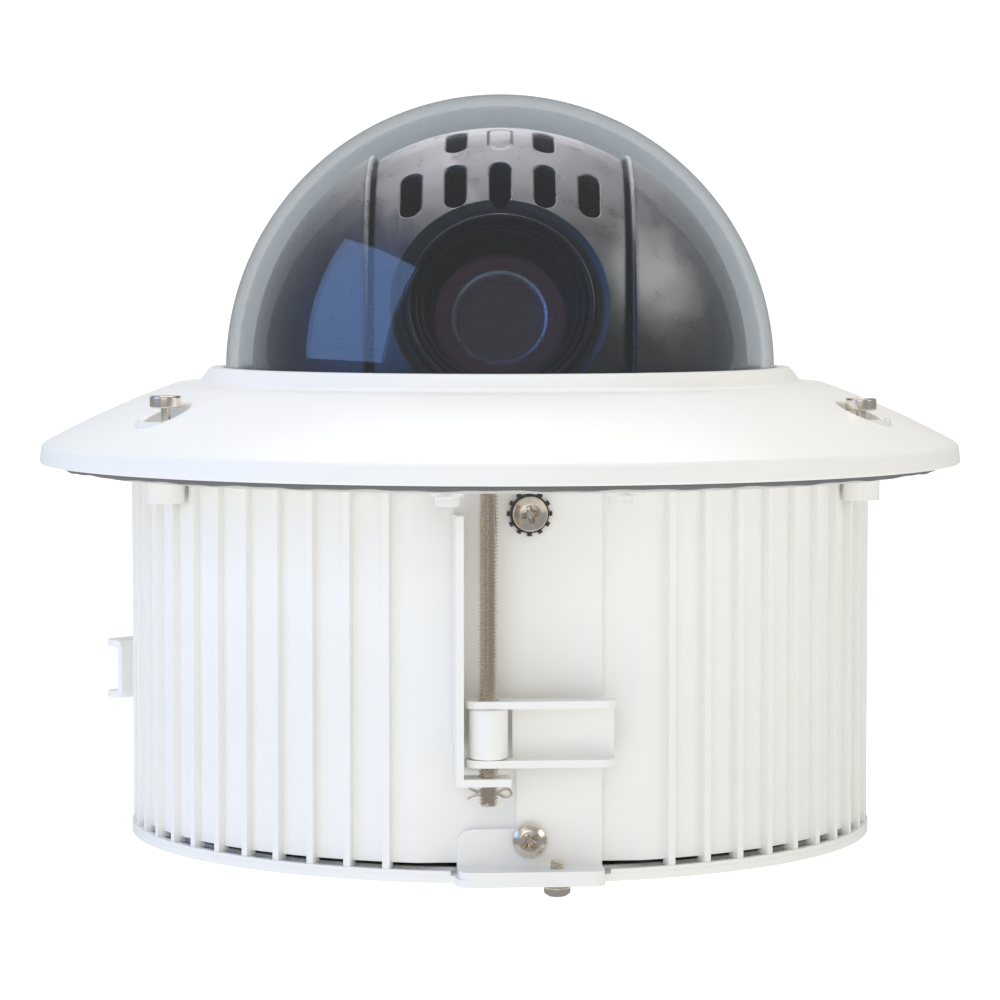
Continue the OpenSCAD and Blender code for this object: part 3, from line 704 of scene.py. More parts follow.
def opening_cutter(name, outline, surface, fillet, bottom, top, foot=0.4):
    """Cutter with a rounded foot, whose wall flares by a quarter round at the surface.

    outline(offset) gives the points of the opening, and surface(x, y) the height there.
    """
    rings = [[(x, y, bottom) for x, y in outline(-foot)]]
    rings.append([(x, y, bottom + foot * 0.3) for x, y in outline(-foot * 0.3)])
    rings.append([(x, y, bottom + foot) for x, y in outline(0)])
    for k, turn in enumerate((0, 20, 40, 60, 78)):
        a = math.radians(turn)
        least = bottom + foot + 0.01 * (k + 1)
        drop = fillet * (1 - math.sin(a))
        edge = outline(fillet * (1 - math.cos(a)))
        rings.append([(x, y, max(surface(x, y) - drop, least)) for x, y in edge])
    rings.append([(x, y, surface(x, y) + top) for x, y in outline(fillet)])
    return loft(name, rings)


ring_outline = [(ring_r, ring_z, 0.5), (ring_r - 0.4, 86.4, 0.6)]
ring_outline += [(r, z, 0) if k else (r, z, 0.8) for k, (r, z) in enumerate(crown_points(0))]
ring_outline += [(65.6, 100, 1.6), (63.1, collar_z, 0.9), (60.2, collar_z, 0.35), (60.2, 96, 0)]
ring_outline += [(66, 96), (66, 97.5)]
ring_outline += [(r, z, 0) for r, z in reversed(crown_points(2.7)) if r < 97]
ring_outline += [(97, ring_z + 1.6), (91.5, ring_z + 1.6), (91.5, ring_z, 0.3)]
trim_ring = lathe("trim_ring_casting", rounded(ring_outline, 0.3), 288)

bosses = []
for k in range(3):
    boss = lathe("boss", [(1.6, 89.6), (6.3, 89.6), (6.3, 93.2), (1.6, 93.2)], 48)
    bosses.append(put(boss, at_trim_screw(k)))
for k in range(6):
    post = lathe("post", [(1.25, 92), (2.9, 92), (2.9, 97.8), (1.25, 97.8)], 32)
    turned = Matrix.Rotation(math.radians(60 * k), 4, "Z")
    bosses.append(put(post, turned @ moved(retainer_screw_r)))
combined(trim_ring, bosses, "UNION")


def circle(radius, steps=64):
    """A function that gives a circle's points, widened by an offset."""
    return lambda offset: arc(0, 0, radius + offset, 0, 360, steps)[:-1]


pockets = []
for k in range(3):
    place = at_trim_screw(k)
    height = lambda x, y: crown_z(math.hypot(trim_screw_r + x, y))
    pocket = opening_cutter("pocket", circle(5.0), height, 0.7, pocket_floor, 3)
    pockets.append(put(pocket, place))
    pockets.append(put(prism("hole", arc(0, 0, 1.6, 0, 360, 32)[:-1], 80, 100), place))
combined(trim_ring, pockets, "DIFFERENCE")
smooth(trim_ring, 30)
dress(trim_ring, ring_paint, "cover", "white_paint", "trim_ring")
print("trim ring:", len(trim_ring.data.polygons), "faces")

# %% [markdown]
# ## Housing
#
# The housing is a drum with narrow cooling ribs all round and a flat behind each clamp. The
# CAD mesh already has each rib where it belongs. What it lacks is soft edges, so the piece
# is a copy of that mesh with every sharp edge rounded, as thick powder coat leaves it. The
# base plate has an upstand inside its rim, which fills the gap under the housing wall.

# %% Housing and base plate
housing = bevelled(in_sectors(copy_of("housing_shell", "housing_casting")), 0.3)
dress(housing, cast_paint, "housing", "white_paint", "housing_shell")

base_plate = bevelled(in_sectors(copy_of("base_plate", "base_plate_sheet")), 0.3, 2)
dress(base_plate, sheet_paint, "housing", "white_paint", "base_plate")

base_top = 4.2
wall_foot = node_mm("housing_shell")[0].z
upstand_outline = [(73.6, base_top), (75.1, base_top), (75.1, wall_foot), (73.6, wall_foot)]
upstand = lathe("base_upstand", rounded(upstand_outline, 0.3), 180)
dress(smooth(upstand), sheet_paint, "housing", "white_paint")
print("housing:", len(housing.data.polygons), "faces; base:", len(base_plate.data.polygons))

# %% [markdown]
# The gasket under the lip is a strip of soft foam rubber. It was cut by hand, so its lower
# edge wanders a little. A turned ring gets that waviness by moving its points.

# %% Ceiling gasket
gasket_low, gasket_high = node_mm("ceiling_gasket")
gasket_r = gasket_high.x - 1.5
gasket_outline = [(91.6, gasket_low.z + 0.5), (gasket_r, gasket_low.z + 0.5)]
gasket_outline += [(gasket_r, gasket_high.z), (91.6, gasket_high.z)]
gasket = lathe("gasket_foam", rounded(gasket_outline, 0.5), 360)
for v in gasket.data.vertices:
    turn = math.atan2(v.co.y, v.co.x)
    if v.co.z < (gasket_low.z + gasket_high.z) / 2 * MM:
        v.co.z += (0.2 + 0.12 * math.sin(23 * turn) + 0.08 * math.sin(61 * turn + 1)) * MM
dress(smooth(gasket), foam, "cover", "black_rubber", "ceiling_gasket")

# %% [markdown]
# ## Dome
#
# The dome is a real shell, 2.5 mm thick, with a clamped flange inside the ring. Its thickness
# matters: at the rim one looks along the wall, and refraction draws a second line there.

# %% Dome, seal and retainer
inner_r = dome_r - dome_wall
dome_outline = [(0, dome_z + dome_r)] + list(reversed(arc(0, dome_z, dome_r, 0, 90, 72)))[1:]
dome_outline += [(dome_r, 94.5, 0.3), (65.5, 94.5), (65.5, 92), (inner_r, 92)]
dome_outline += arc(0, dome_z, inner_r, 0, 90, 72)[:-1] + [(0, dome_z + inner_r)]
dome = lathe("dome_shell", [(max(p[0], 0.0), p[1]) for p in dome_outline], 256)
dress(smooth(dome, 40), smoked, "cover", "smoked_dome", "dome_bubble")

seal_outline = [(60.7, 94.5), (65.4, 94.5), (65.4, 96), (60.7, 96)]
seal = lathe("dome_seal_ring", rounded(seal_outline, 0.5), 160)
dress(smooth(seal), rubber, "cover", "black_rubber", "dome_seal")
from_cad("dome_retainer", zinc_sheet, 0.25, name="dome_retainer_plate")
retainer_screws = []
for k in range(6):
    screw = pan_screw("screw", 1.2, 0.5, 5.4, 2.2, 1.5, 15 + 37 * k)
    spot = Matrix.Rotation(math.radians(60 * k), 4, "Z") @ moved(retainer_screw_r, 0, 89.9)
    retainer_screws.append(put(screw, spot @ half_turn))
retainer_screws = joined("retainer_screw_set", retainer_screws)
dress(retainer_screws, nickel, "cover", "plated_steel", "retainer_screws")
print("dome:", len(dome.data.polygons), "faces")

# %% [markdown]
# ## Captive trim screws
#
# Each trim screw has a low head with a Phillips recess and a thin waist, so that it can't
# fall out. Loose, the three heads stand at different heights.

# %% Trim screws
trim_head_r, trim_head_h = 3.25, 2.5
head_outline = [(0, 0), (trim_head_r - 0.15, 0, 0.2), (trim_head_r, 0.35, 0.25)]
head_outline += [(trim_head_r, trim_head_h - 0.35, 0.3), (trim_head_r - 0.2, trim_head_h, 0.2)]
head_outline += [(0, trim_head_h)]
for k in range(3):
    high = node_mm(f"trim_screw_{k + 1}")[1]
    head = lathe("head", rounded(head_outline, 0), 64)
    turned = Matrix.Rotation(math.radians(20 + 50 * k), 4, "Z")
    cutter = put(cross_cutter("cut", 1.9, 1.4, 0.85), moved(z=trim_head_h) @ turned)
    combined(head, [cutter], "DIFFERENCE")
    waist = lathe("waist", [(0, -7.2), (0.95, -7.2), (0.95, 0.1), (0, 0.1)], 32)
    point = thread("point", 1.45, 0.5, -14, -6.8)
    parts = [smooth(head, 28), smooth(waist), smooth(point, 50)]
    screw = joined(f"captive_screw_{k + 1}_steel", parts)
    put(screw, at_trim_screw(k) @ moved(z=high.z - trim_head_h))
    dress(screw, nickel, f"captive_screw_{k + 1}", "plated_steel", f"trim_screw_{k + 1}")
print("trim screw:", len(screw.data.polygons), "faces")

# %% [markdown]
# ## Ceiling clamps
#
# Each clamp is folded from 1.5 mm sheet. A press brake can't fold a sharp corner: the
# outside of a fold has a radius near the sheet's thickness. So a fold here is an L-shaped
# outline with arcs in its corner, pulled to length, and flat parts are united with it.

# %% Bracket
sheet = 1.5
flat_x = 75.3
fold = 1.9
rod_x, rod_y = 83, -8.85
base_screw_x, base_screw_y = 80, 5.1
bracket_screw_y = -0.2
bracket_screw_z = (10.9, 76.1)
left, right, foot_left = -15.4, 14.4, -14.6
front, bearing_back, foot_tip = 86.5, 79.4, 85


def folded(a0, a1, b0, b1, inside=0.6):
    """L-shaped section: a leg from a0 to a1 and one from b0 to b1, folded at (a0, b0)."""
    corner = [(a0, b0, fold), (a1, b0), (a1, b0 + sheet), (a0 + sheet, b0 + sheet, inside)]
    return rounded(corner + [(a0 + sheet, b1), (a0, b1)], 0, 6)


def slab(name, x0, x1, y0, y1, z0, z1):
    """A flat rectangle of sheet, before its edges are rounded."""
    return prism(name, [(x0, y0), (x1, y0), (x1, y1), (x0, y1)], z0, z1)


def drill(radius, low, high):
    """Cutter for a round hole."""
    return prism("hole", arc(0, 0, radius, 0, 360, 40)[:-1], low, high)


def bracket_mesh():
    """Clamp bracket in its own frame: plate, side flange, foot and rod bearing."""
    plate = prism("bracket", folded(flat_x, front, left, right), 30.4, 76.2)
    above = slab("a", flat_x, flat_x + sheet, left, right, 76.15, 80.7)
    below = slab("b", flat_x, flat_x + sheet, left, right, 25, 30.45)
    neck = slab("c", flat_x, flat_x + sheet, -2.75, right, 13.05, 25.05)
    lower = [(foot_left, 6.2), (right, 6.2), (right, 13.1), (foot_left, 13.1, 4.5)]
    shoulder = prism("d", rounded(lower, 0, 6), 0, sheet)
    put(shoulder, moved(flat_x) @ Matrix.Rotation(math.radians(90), 4, "Z") @ upright)
    foot = prism("foot", folded(flat_x, foot_tip, base_top, 6.25), foot_left, right)
    put(foot, upright @ Matrix.Scale(-1, 4, (0, 0, 1)))
    tongue_top = [(60, foot_left), (foot_tip, foot_left, 3), (foot_tip, right, 3), (60, right)]
    combined(foot, [prism("trim", rounded(tongue_top, 0, 6), 0, 20)], "INTERSECT")
    drop = slab("e", bearing_back, front, left, left + sheet, 24.0, 30.45)
    bearing = prism("bearing", folded(left, -4.5, 22.9, 24.05), bearing_back, front)
    put(bearing, Matrix(((0, 0, 1, 0), (1, 0, 0, 0), (0, 1, 0, 0), (0, 0, 0, 1))))
    combined(plate, [above, below, neck, shoulder, foot, drop, bearing], "UNION")
    tidy_mesh(plate)
    holes = [put(drill(2.1, 20, 26), moved(rod_x, rod_y))]
    holes.append(put(drill(1.5, 0, 10), moved(base_screw_x, base_screw_y)))
    for z in bracket_screw_z:
        holes.append(put(drill(2.15, 70, 80), moved(0, bracket_screw_y, z) @ on_x))
    return bevelled(combined(plate, holes, "DIFFERENCE"), 0.28, 3, 40)


bracket = bracket_mesh()
for k in range(3):
    piece = put(copied(f"bracket_{k + 1}_folded", bracket), at_clamp(k))
    dress(piece, sheet_paint, "housing", "white_paint", f"clamp_bracket_{k + 1}")
bpy.data.objects.remove(bracket)
print("brackets:", len(piece.data.polygons), "faces each")

# %% [markdown]
# The arm is a short channel. Its web joins two flanges with folded corners, and the flanges
# are rounded where they turn on the barrel nut. The channel is cut to the flanges' outline,
# so that its free corners are round too.

# %% Arm and barrel nut
arm_h = 13.15
arm_back, arm_front, arm_tip = 79.2 - rod_x, 86.2 - rod_x, 16.4 - rod_y
web_start = 4.95


def arm_mesh():
    """Clamp arm round its rod, in the rod's frame."""
    half = (arm_front - arm_back) / 2
    shape = arc(arm_back + half, -1.15, half, 180, 360, 24)
    shape += arc(arm_front - 3.5, arm_tip - 3.5, 3.5, 0, 90, 10) + [(arm_back, arm_tip)]
    section = [(arm_front + 1, 0), (arm_front + 1, sheet), (arm_back + sheet, sheet, 0.6)]
    section += [(arm_back + sheet, arm_h - sheet, 0.6), (arm_front + 1, arm_h - sheet)]
    section += [(arm_front + 1, arm_h), (arm_back, arm_h, fold), (arm_back, 0, fold)]
    channel = prism("channel", rounded(section, 0, 6), web_start, arm_tip)
    put(channel, Matrix(((1, 0, 0, 0), (0, 0, 1, 0), (0, 1, 0, 0), (0, 0, 0, 1))))
    combined(channel, [prism("outline", shape, -1, arm_h + 1)], "INTERSECT")
    ends = []
    end = arc(arm_back + half, -1.15, half, 180, 360, 24)
    end += [(arm_front, web_start + 0.02), (arm_back, web_start + 0.02)]
    for z in (0, arm_h - sheet):
        ends.append(prism("flange", end, z, z + sheet))
    combined(channel, ends, "UNION")
    combined(channel, [drill(2.1, -1, arm_h + 1)], "DIFFERENCE")
    return bevelled(channel, 0.25, 3, 40)


def at_rod(k, z=0):
    """Frame of rod k, at a height."""
    return at_clamp(k) @ moved(rod_x, rod_y, z)


arm = arm_mesh()
swing_at_rest = (0, 0, 17)
for k in range(3):
    swung = Matrix.Rotation(math.radians(-swing_at_rest[k]), 4, "Z")
    foot_z = node_mm(f"clamp_arm_{k + 1}")[0].z
    piece = put(copied(f"arm_{k + 1}_channel", arm), at_rod(k, foot_z) @ swung)
    dress(piece, sheet_paint, f"arm_{k + 1}", "white_paint", f"clamp_arm_{k + 1}")
    low, high = node_mm(f"clamp_nut_{k + 1}")
    shape = [(2.0, low.z, 0.3), (3.87, low.z, 0.5), (3.87, high.z, 0.5), (2.0, high.z, 0.3)]
    nut = smooth(lathe(f"barrel_nut_{k + 1}", rounded(shape, 0), 64), 30)
    put(nut, at_rod(k))
    dress(nut, sheet_paint, f"nut_{k + 1}", "plated_steel", f"clamp_nut_{k + 1}")
bpy.data.objects.remove(arm)
print("arms:", len(piece.data.polygons), "faces each")

# %% [markdown]
# The rod is an M4 screw as long as the housing is tall, held at its lower end by a cotter
# pin: one piece of half-round wire, folded into an eye, with its two legs splayed.

# %% Rods and cotter pins
pin_z = 21.3
eye_turns = [math.radians(24 + 312 * s / 18) for s in range(19)]
eye = [(0, 3.45 - 1.1 * math.cos(a), 0.82 * math.sin(a)) for a in eye_turns]
pin_path = [(0, -4.2, -1.05), (0, -3.3, -0.62), (0, -2.5, -0.32), (0, -1.6, -0.22)]
pin_path += [(0, 1.6, -0.24)] + list(reversed(eye)) + [(0, 1.6, 0.24), (0, -1.6, 0.22)]
pin_path += [(0, -2.4, 0.34), (0, -3.1, 0.66), (0, -3.8, 1.1)]
for k in range(3):
    low, high = node_mm(f"clamp_rod_{k + 1}")
    head_z = high.z - 2.6
    rod = pan_screw(f"rod_{k + 1}_m4", 1.95, 0.7, head_z - low.z, 3.5, 2.6, 10 + 35 * k)
    put(rod, at_rod(k, head_z))
    dress(rod, nickel, f"rod_{k + 1}", "plated_steel", f"clamp_rod_{k + 1}")
    pin = smooth(sweep_along(f"pin_{k + 1}_wire", pin_path, 0.3, 10), 50)
    put(pin, at_rod(k, pin_z))
    dress(pin, nickel, f"rod_{k + 1}", "plated_steel", f"cotter_pin_{k + 1}")
print("rod:", len(rod.data.polygons), "faces")

# %% [markdown]
# Two screws hold each bracket, the upper one on a toothed lock washer, and one M3 screw
# comes up through the base plate into each bracket's foot.

# %% Bracket screws, base screws and washers
drive_turns = (35, 12, 55, 70, 20, 40)
lock_washer_t = 0.7
screws = []
for k in range(3):
    for upper, z in enumerate(bracket_screw_z):
        screw = pan_screw("screw", 1.95, 0.7, 7, 3.5, 2.6, drive_turns[2 * k + upper])
        stand = flat_x + sheet + lock_washer_t * upper
        screws.append(put(screw, at_clamp(k) @ moved(stand, bracket_screw_y, z) @ on_x))
bracket_screws = joined("bracket_screw_set", screws)
dress(bracket_screws, nickel, "housing", "plated_steel", "bracket_screws")
from_cad("lock_washers", dark_zinc, 0.08, name="lock_washer_set")

screws = []
for k in range(3):
    screw = pan_screw("screw", 1.45, 0.5, 5.2, 2.65, 2, 15 + 40 * k)
    screws.append(put(screw, at_clamp(k) @ moved(base_screw_x, base_screw_y, 2) @ half_turn))
dress(joined("base_screw_set", screws), nickel, "housing", "plated_steel", "base_screws")
from_cad("base_washers", nickel, 0.1, name="base_washer_set")
grommet = from_cad("cable_grommet", rubber, 0.6, 3, "cable_grommet_rubber")
print("grommet:", len(grommet.data.polygons), "faces")

# %% [markdown]
# ## Pan cover
#
# The pan cover turns with the camera. It is a thin black shell with a deep slot for the
# lens, and its mould gives the slot a full round rim. The shell is turned and then cut, and
# a round bead follows the slot's edge, worked out from the sphere and the slot's width.

# %% Pan cover
cover_r, shell = 54, 1.2
slot_half, slot_back, slot_z = 27.5, 12, dome_z + 4
pan_outline = [(cover_r, 46)] + arc(0, dome_z, cover_r, 0, 90, 64)[:-1] + [(0, dome_z + cover_r)]
pan_outline += [(0, dome_z + cover_r - shell)]
pan_outline += list(reversed(arc(0, dome_z, cover_r - shell, 0, 90, 64)))[1:]
pan_outline += [(cover_r - shell, 46)]
pan_cover = lathe("pan_cover_moulding", pan_outline, 224)
u_shape = arc(0, slot_z, slot_half, 180, 360, 96) + [(slot_half, 170), (-slot_half, 170)]
front_cut = put(prism("cut", u_shape, 0, 80), upright)
back_box = [(-slot_half, slot_z), (slot_half, slot_z), (slot_half, 170), (-slot_half, 170)]
back_cut = put(prism("cut", back_box, -slot_back, 1), upright)
combined(pan_cover, [front_cut, back_cut], "DIFFERENCE")

bead_r = cover_r - shell / 2


def on_cover(x, z, side=-1):
    """Point of the shell's middle surface with a given x and height."""
    rise = max(0.0, z - dome_z)
    return (x, side * math.sqrt(max(0.0, bead_r**2 - x**2 - rise**2)), z)


rim = math.sqrt(bead_r**2 - slot_half**2)
start = math.asin((slot_z - dome_z) / rim)
stop = math.pi / 2 + math.asin(slot_back / rim)
sides = [start + (stop - start) * s / 60 for s in range(61)]
right_side = [(slot_half, -rim * math.cos(a), dome_z + rim * math.sin(a)) for a in sides]
edge = [on_cover(x, z) for x, z in arc(0, slot_z, slot_half, 180, 360, 96)]
edge += right_side[1:]
back = [slot_half * math.cos(math.pi * s / 40) for s in range(1, 40)]
edge += [(x, slot_back, dome_z + math.sqrt(bead_r**2 - x**2 - slot_back**2)) for x in back]
edge += [(-x, y, z) for x, y, z in reversed(right_side[1:])]
bead = sweep_along("bead", edge, 0.72, 14, True)
pan_cover = joined("pan_cover_shell", [smooth(pan_cover, 30), smooth(bead, 60)])
dress(pan_cover, cover_abs, "pan", "black_gloss", "pan_cover")
print("pan cover:", len(pan_cover.data.polygons), "faces")

# %% [markdown]
# ## Tilt cover
#
# The tilt cover is half a drum with a spherical face, which follows the lens up and down in
# the slot. Eight slots let warm air out, and a soft cone runs down to the lens. Each slot's
# cutter follows the sphere, so its rounded rim is even all round.

# %% Tilt cover
tilt_r, tilt_half, tilt_wall = 52.5, 26, 2
vent_w, vent_l, vent_pitch = 4.2, 12.9, 9.15


def shell_section(radius, half, steps=56):
    """Half outline of the drum: its round rim between two flat cheeks."""
    side = math.degrees(math.asin(half / radius))
    return [(x, y) for y, x in arc(0, 0, radius, -side, side, steps)]


drum = [(4, -tilt_half, 0.2)]
outer = [(y, x) for x, y in shell_section(tilt_r, tilt_half)]
inner = [(y, x) for x, y in shell_section(tilt_r - tilt_wall, tilt_half - tilt_wall)]
drum += [(outer[0][0], outer[0][1], 1.2)] + [(r, x, 0) for r, x in outer[3:-3]]
drum += [(outer[-1][0], outer[-1][1], 1.2), (4, tilt_half, 0.2), (4, tilt_half - tilt_wall)]
drum += [(r, x, 0) for r, x in reversed(inner)] + [(4, tilt_wall - tilt_half)]
tilt_cover = lathe("tilt_cover_moulding", rounded(drum, 0), 144, 180, -75)
put(tilt_cover, Matrix(((0, 0, -1, 0), (0, 1, 0, 0), (1, 0, 0, 0), (0, 0, 0, 1))))
hubs = []
for side in (-1, 1):
    shape = rounded([(4, 24.3), (10, 24.3), (10, 26.3, 0.5), (4, 26.3)], 0)
    hubs.append(put(lathe("hub", shape, 72), Matrix.Rotation(math.radians(90 * side), 4, "Y")))
combined(tilt_cover, hubs, "UNION")


def stadium(x0, width, length, steps=14):
    """Points of a slot with round ends about (x0, 0), widened by an offset."""
    def outline(offset):
        reach = (length - width) / 2
        radius = width / 2 + offset
        top = arc(x0, reach, radius, 0, 180, steps)
        return top + arc(x0, -reach, radius, 180, 360, steps)
    return outline


def tilt_surface(x, y):
    """Height of the spherical face over its centre plane."""
    return math.sqrt(tilt_r**2 - x**2 - y**2)


cuts = []
for angle, row in ((31, range(-2, 3)), (52, range(-1, 2))):
    lean = Matrix.Rotation(math.radians(-angle), 4, "X")
    for k in row:
        shape = stadium(k * vent_pitch, vent_w, vent_l)
        cuts.append(put(opening_cutter("vent", shape, tilt_surface, 0.55, 30, 4), lean))
bowl = [(0, 20), (19.5, 20), (19.5, 46.8, 0.3), (20.8, 46.8, 1.5), (22.0, 47.3, 1.2)]
bowl += [(23.1, 47.9, 1.0), (24.5, 60), (0, 60)]
cuts.append(lathe("bowl", rounded(bowl, 0, 8), 160))
combined(tilt_cover, cuts, "DIFFERENCE")
smooth(tilt_cover, 35)
dress(put(tilt_cover, at_lens), cover_abs, "tilt", "black_gloss", "tilt_cover")
print("tilt cover:", len(tilt_cover.data.polygons), "faces")

# %% [markdown]
# ## Lens
#
# The lens is a stack of turned rings in black anodised aluminium. Each ring's edge is
# chamfered on the lathe, and those chamfers draw the fine bright circles that one sees. Deep
# in the barrel a cone of fine grooves swallows stray light.

# %% Bezel and barrel


def lens_ring(name, outline, segments, angle):
    """A turned ring of the lens, its corners broken as on a lathe."""
    return put(smooth(lathe(name, rounded(outline, 0, 3), segments), angle), at_lens)


bezel = [(18.0, 42), (19.4, 42), (19.4, 47.7, 0.35), (19.1, 48.3, 0.35), (18.5, 48.3, 0.2)]
bezel += [(18.3, 47.9, 0.15), (18.0, 47.4, 0.1)]
bezel_ring = lens_ring("bezel_ring", bezel, 192, 40)
dress(bezel_ring, anodised, "tilt", "lens_metal", "lens_bezel")

barrel = [(12.4, -24), (17.9, -24), (17.9, 46.4, 0.2), (17.5, 46.9, 0.2), (16.9, 46.9, 0.15)]
barrel += [(16.7, 46.3, 0.1), (16.3, 46.3, 0.1), (16.1, 46.7, 0.15), (15.75, 46.7, 0.1)]
barrel += [(15.6, 46.3), (15.6, 39.6)]
steps = 9
for k in range(steps):
    rho, rise = 15.4 - 0.42 * k, 39.6 - 0.17 * k
    barrel += [(rho, rise), (rho - 0.1, rise - 0.17)]
barrel += [(11.2, 38.0), (10.4, 38.0, 0.2), (10, 37.6, 0.1), (10, 35), (12.4, 35)]
barrel_tube = lens_ring("barrel_tube", barrel, 192, 30)
dress(barrel_tube, anodised, "tilt", "lens_metal", "lens_barrel")

retaining = [(8.3, 34.2), (9.9, 34.2), (9.9, 37.4, 0.2), (9.3, 37.8, 0.2)]
retaining += [(8.7, 37.4, 0.15), (8.3, 36.6, 0.1)]
retaining_ring = lens_ring("retaining_ring", retaining, 160, 40)
dress(retaining_ring, zinc_sheet, "tilt", "lens_metal")
print("barrel:", len(barrel_tube.data.polygons), "faces")

# %% [markdown]
# A lens element is ground to two spheres and edged to a cylinder. Its outline is two arcs
# about centres on the axis. The front element bulges, and its coating glints.

# %% Glass elements


def element(name, radius, front, back, front_r, back_r, steps=20):
    """Lens between two spheres; a radius of curvature below 0 is a hollow face."""
    def face(z, curve, flip):
        points = []
        for k in range(steps + 1):
            r = radius * k / steps
            sag = abs(curve) - math.sqrt(curve**2 - r**2)
            points.append((r, z - math.copysign(sag, curve) * flip))
        return points
    outline = face(front, front_r, 1) + list(reversed(face(back, back_r, -1)))
    return smooth(lathe(name, outline, 128), 40)


front_element = put(element("front_element", 15.45, 45.5, 40.4, 42, -60), at_lens)
dress(front_element, coated, "tilt", "lens_glass", "front_glass")
second = put(element("second_element", 8.25, 36.9, 34.6, 24, -30), at_lens)
dress(second, inner_glass, "tilt", "lens_glass")

for name, low_z, high_z, bore, out in (("zoom", 8, 16, 9.9, 12), ("focus", -16, -9, 7.9, 12)):
    cell = [(bore, low_z), (out, low_z, 0.3), (out, high_z, 0.3)]
    cell += [(bore + 0.5, high_z, 0.3), (bore, high_z - 1)]
    ring = lens_ring(f"{name}_cell", cell, 128, 40)
    dress(ring, anodised, name, "lens_metal", f"{name}_group")
    glass = element(f"{name}_element", bore, high_z - 1.5, low_z + 1.2, 30, 40)
    dress(put(glass, at_lens), inner_glass, name, "lens_glass")

from_cad("ir_filter", infrared, 0.15, name="infrared_filter_pane")
print("front element:", len(front_element.data.polygons), "faces")

# %% [markdown]
# ## Mechanism and electronics
#
# What the housing hides still has to be right: chassis, bearing, slip ring, gears, motors
# and boards. Their CAD shapes are exact, so each piece is a copy with its edges rounded by
# what made it: a deburring wheel, a mould or a hob.

# %% Inner pieces
inner_finish = {
    "sheet_steel": zinc_sheet, "black_matt": matt_abs, "nylon": acetal, "brass": brass,
    "lens_metal": anodised, "terminal_green": green_nylon, "circuit_board": solder_mask,
    "plated_steel": nickel,
}
inner_edges = {
    "chassis_plate": 0.2, "chassis_posts": 0.25, "pan_bearing_outer": 0.4,
    "pan_bearing_inner": 0.3, "slip_ring_stator": 0.4, "slip_ring_rotor": 0.3,
    "pan_motor": 0.5, "pan_pinion": 0.12,
    "turntable": 0.5, "pan_gear": 0.15, "yoke_left": 0.4, "yoke_right": 0.4, "tilt_bushes": 0.3,
    "tilt_motor": 0.3, "tilt_pinion": 0.1, "tilt_shafts": 0.4, "tilt_gear": 0.12,
    "camera_body": 0.6, "terminal_blocks": 0.2,
}
for node, width in inner_edges.items():
    slot = slot_of_node[node]
    piece = from_cad(node, inner_finish[slot], width)
    print(f"{node}: {len(piece.data.polygons)} faces, {slot}")

# %% [markdown]
# The main board carries black chips and silver capacitors on its green solder mask. Faces
# are sorted by height: what stands over the board is a component.

# %% Boards
chip_black = plastic("epoxy_chip_moulding", "#1b1b1c", "#161617", 0.5, 0.4, 0.01)
can_metal = metal("aluminium_capacitor_can", "#c8cacc", "#b6b8ba", 0.3, 0.6, 0.003)


def board(node, name, z_top, place, round_part):
    """A circuit board, its components told apart by height and shape."""
    piece = from_cad(node, solder_mask, 0.15, name=name)
    piece.data.materials.append(chip_black)
    piece.data.materials.append(can_metal)
    inverse = place.inverted()
    for face in piece.data.polygons:
        centre = inverse @ face.center / MM
        if centre.z > z_top + 0.02:
            face.material_index = 2 if round_part(centre) else 1
    return piece


cans = ((-34, 32, 5), (-20, 40, 4), (44, -14, 4), (20, 48, 5))


def is_can(spot):
    """Whether a place on the main board lies under one of the capacitor cans."""
    return any(math.hypot(spot.x - x, spot.y - y) < r + 0.6 for x, y, r in cans)


board("main_board", "main_board_assembly", 10.6, Matrix.Identity(4), is_can)
sensor = board("sensor_board", "sensor_board_assembly", -30.4, at_lens, lambda spot: False)
print("sensor board:", len(sensor.data.polygons), "faces")

# %% [markdown]
# ## Floor and light
#
# The set is a sheet that curves up behind the object and glows evenly, lit by soft boxes.
# Two large lamps give the paint its even white. The black covers have lamps of their own: a
# broad pale one above, a cool one at the left and a small bright one at the right. Light
# linking keeps the large lamps out of the dome, which mirrors only a cool window.

# %% Paper sweep
sweep = [(-3000, 0), (1500, 0)] + arc(1500, 700, 700, -90, 0, 16)[1:] + [(2200, 4200)]
vertices = [(x, y, z) for y, z in sweep for x in (-4200, 4200)]
faces = [(2 * k, 2 * k + 1, 2 * k + 3, 2 * k + 2) for k in range(len(sweep) - 1)]
floor = smooth(new_piece("paper_sweep", vertices, faces), 60)
paper, tree, shader, place = start_material("matt_paper", {"Roughness": 0.85})
two_tone(tree, shader, noise(tree, place, 400, 2), "#8a8a8a", "#868686")
shader.inputs["Emission Color"].default_value = hex_linear("#ffffff")
shader.inputs["Emission Strength"].default_value = 0.95
floor.data.materials.append(paper)
floor.visible_glossy = False
print("sweep:", len(floor.data.polygons), "faces")

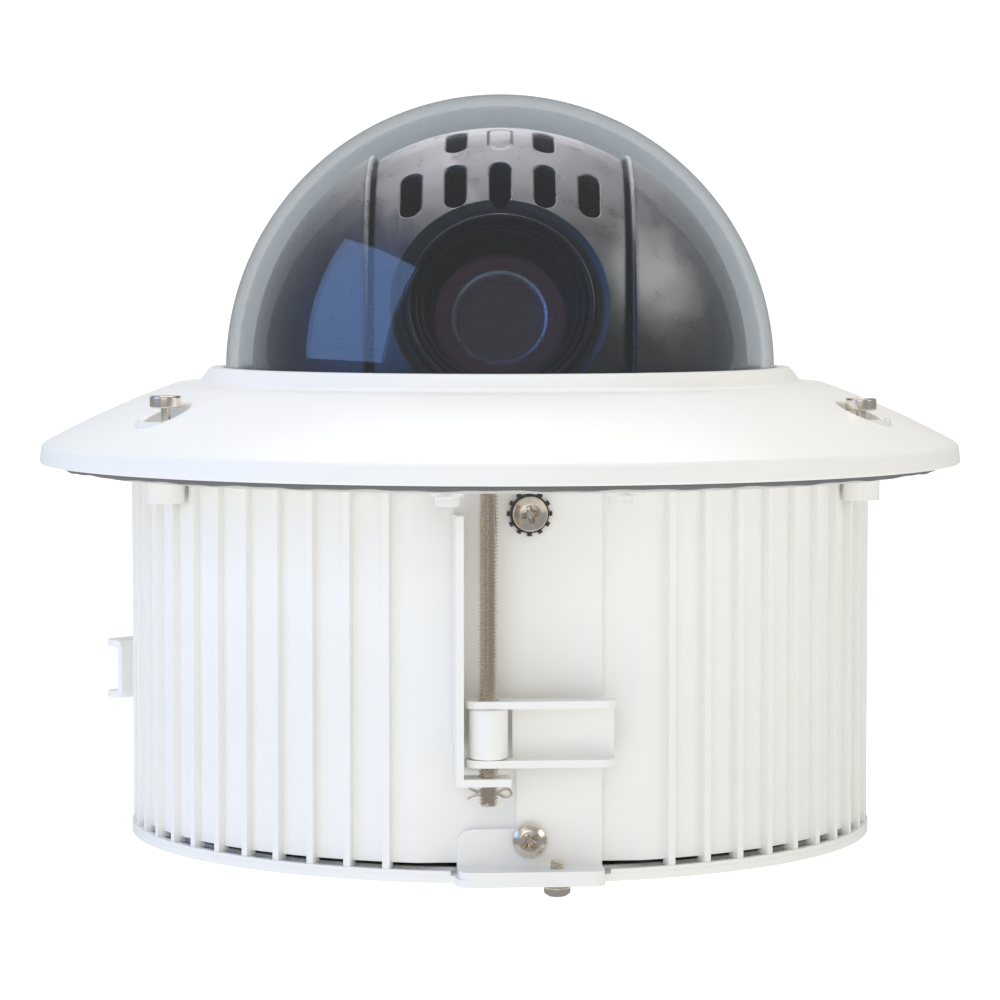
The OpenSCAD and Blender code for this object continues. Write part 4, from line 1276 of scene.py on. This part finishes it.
# %% Soft boxes


def soft_box(name, place, size, watts, colour, pieces, link_state):
    """Square area lamp at a place in metres, aimed at the part. It lights only the pieces,
    or everything except them, as flags and screens round a studio lamp would arrange."""
    lamp = bpy.data.lights.new(name, "AREA")
    lamp.size = size
    lamp.energy = watts
    lamp.color = hex_linear(colour)[:3]
    box = bpy.data.objects.new(name, lamp)
    box.location = place
    aim = Vector((0, 0, 0.1)) - Vector(place)
    box.rotation_euler = aim.to_track_quat("-Z", "Y").to_euler()
    bpy.context.scene.collection.objects.link(box)
    chosen = bpy.data.collections.new(name + "_pieces")
    box.light_linking.receiver_collection = chosen
    for k, piece in enumerate(pieces):
        chosen.objects.link(bpy.data.objects[piece])
        chosen.collection_objects[k].light_linking.link_state = link_state


clear_pieces = ["dome_shell", "front_element", "second_element"]
lens_rings = ["bezel_ring", "barrel_tube", "retaining_ring"]
covers = ["pan_cover_shell", "tilt_cover_moulding"] + lens_rings
under_dome = clear_pieces + covers
soft_box("top_box", (0, 0.2, 1.1), 0.9, 7.5, "#fffaf4", under_dome, "EXCLUDE")
soft_box("front_fill", (-0.3, -1.8, 0.9), 1.5, 9, "#fffdfa", under_dome, "EXCLUDE")
soft_box("side_box", (1.1, -0.5, 0.5), 0.5, 1.5, "#fff6ea", ["dome_shell"], "EXCLUDE")
soft_box("window", (-1.07, -0.45, 0.6), 0.9, 5, "#8cb8ff", [], "EXCLUDE")
soft_box("cover_top", (0, 0.4, 0.85), 0.8, 260, "#ffece8", covers, "INCLUDE")
soft_box("cover_left", (-0.9, -0.45, 0.5), 0.6, 50, "#6f9cff", covers, "INCLUDE")
soft_box("cover_right", (0.95, 0.0, 0.7), 0.4, 40, "#fff2ea", covers, "INCLUDE")

world = bpy.data.worlds.new("room")
bpy.context.scene.world = world
world.use_nodes = True
background = world.node_tree.nodes["Background"]
background.inputs["Color"].default_value = hex_linear("#e6eaee")
background.inputs["Strength"].default_value = 0.42
bpy.context.scene.view_settings.view_transform = "Standard"
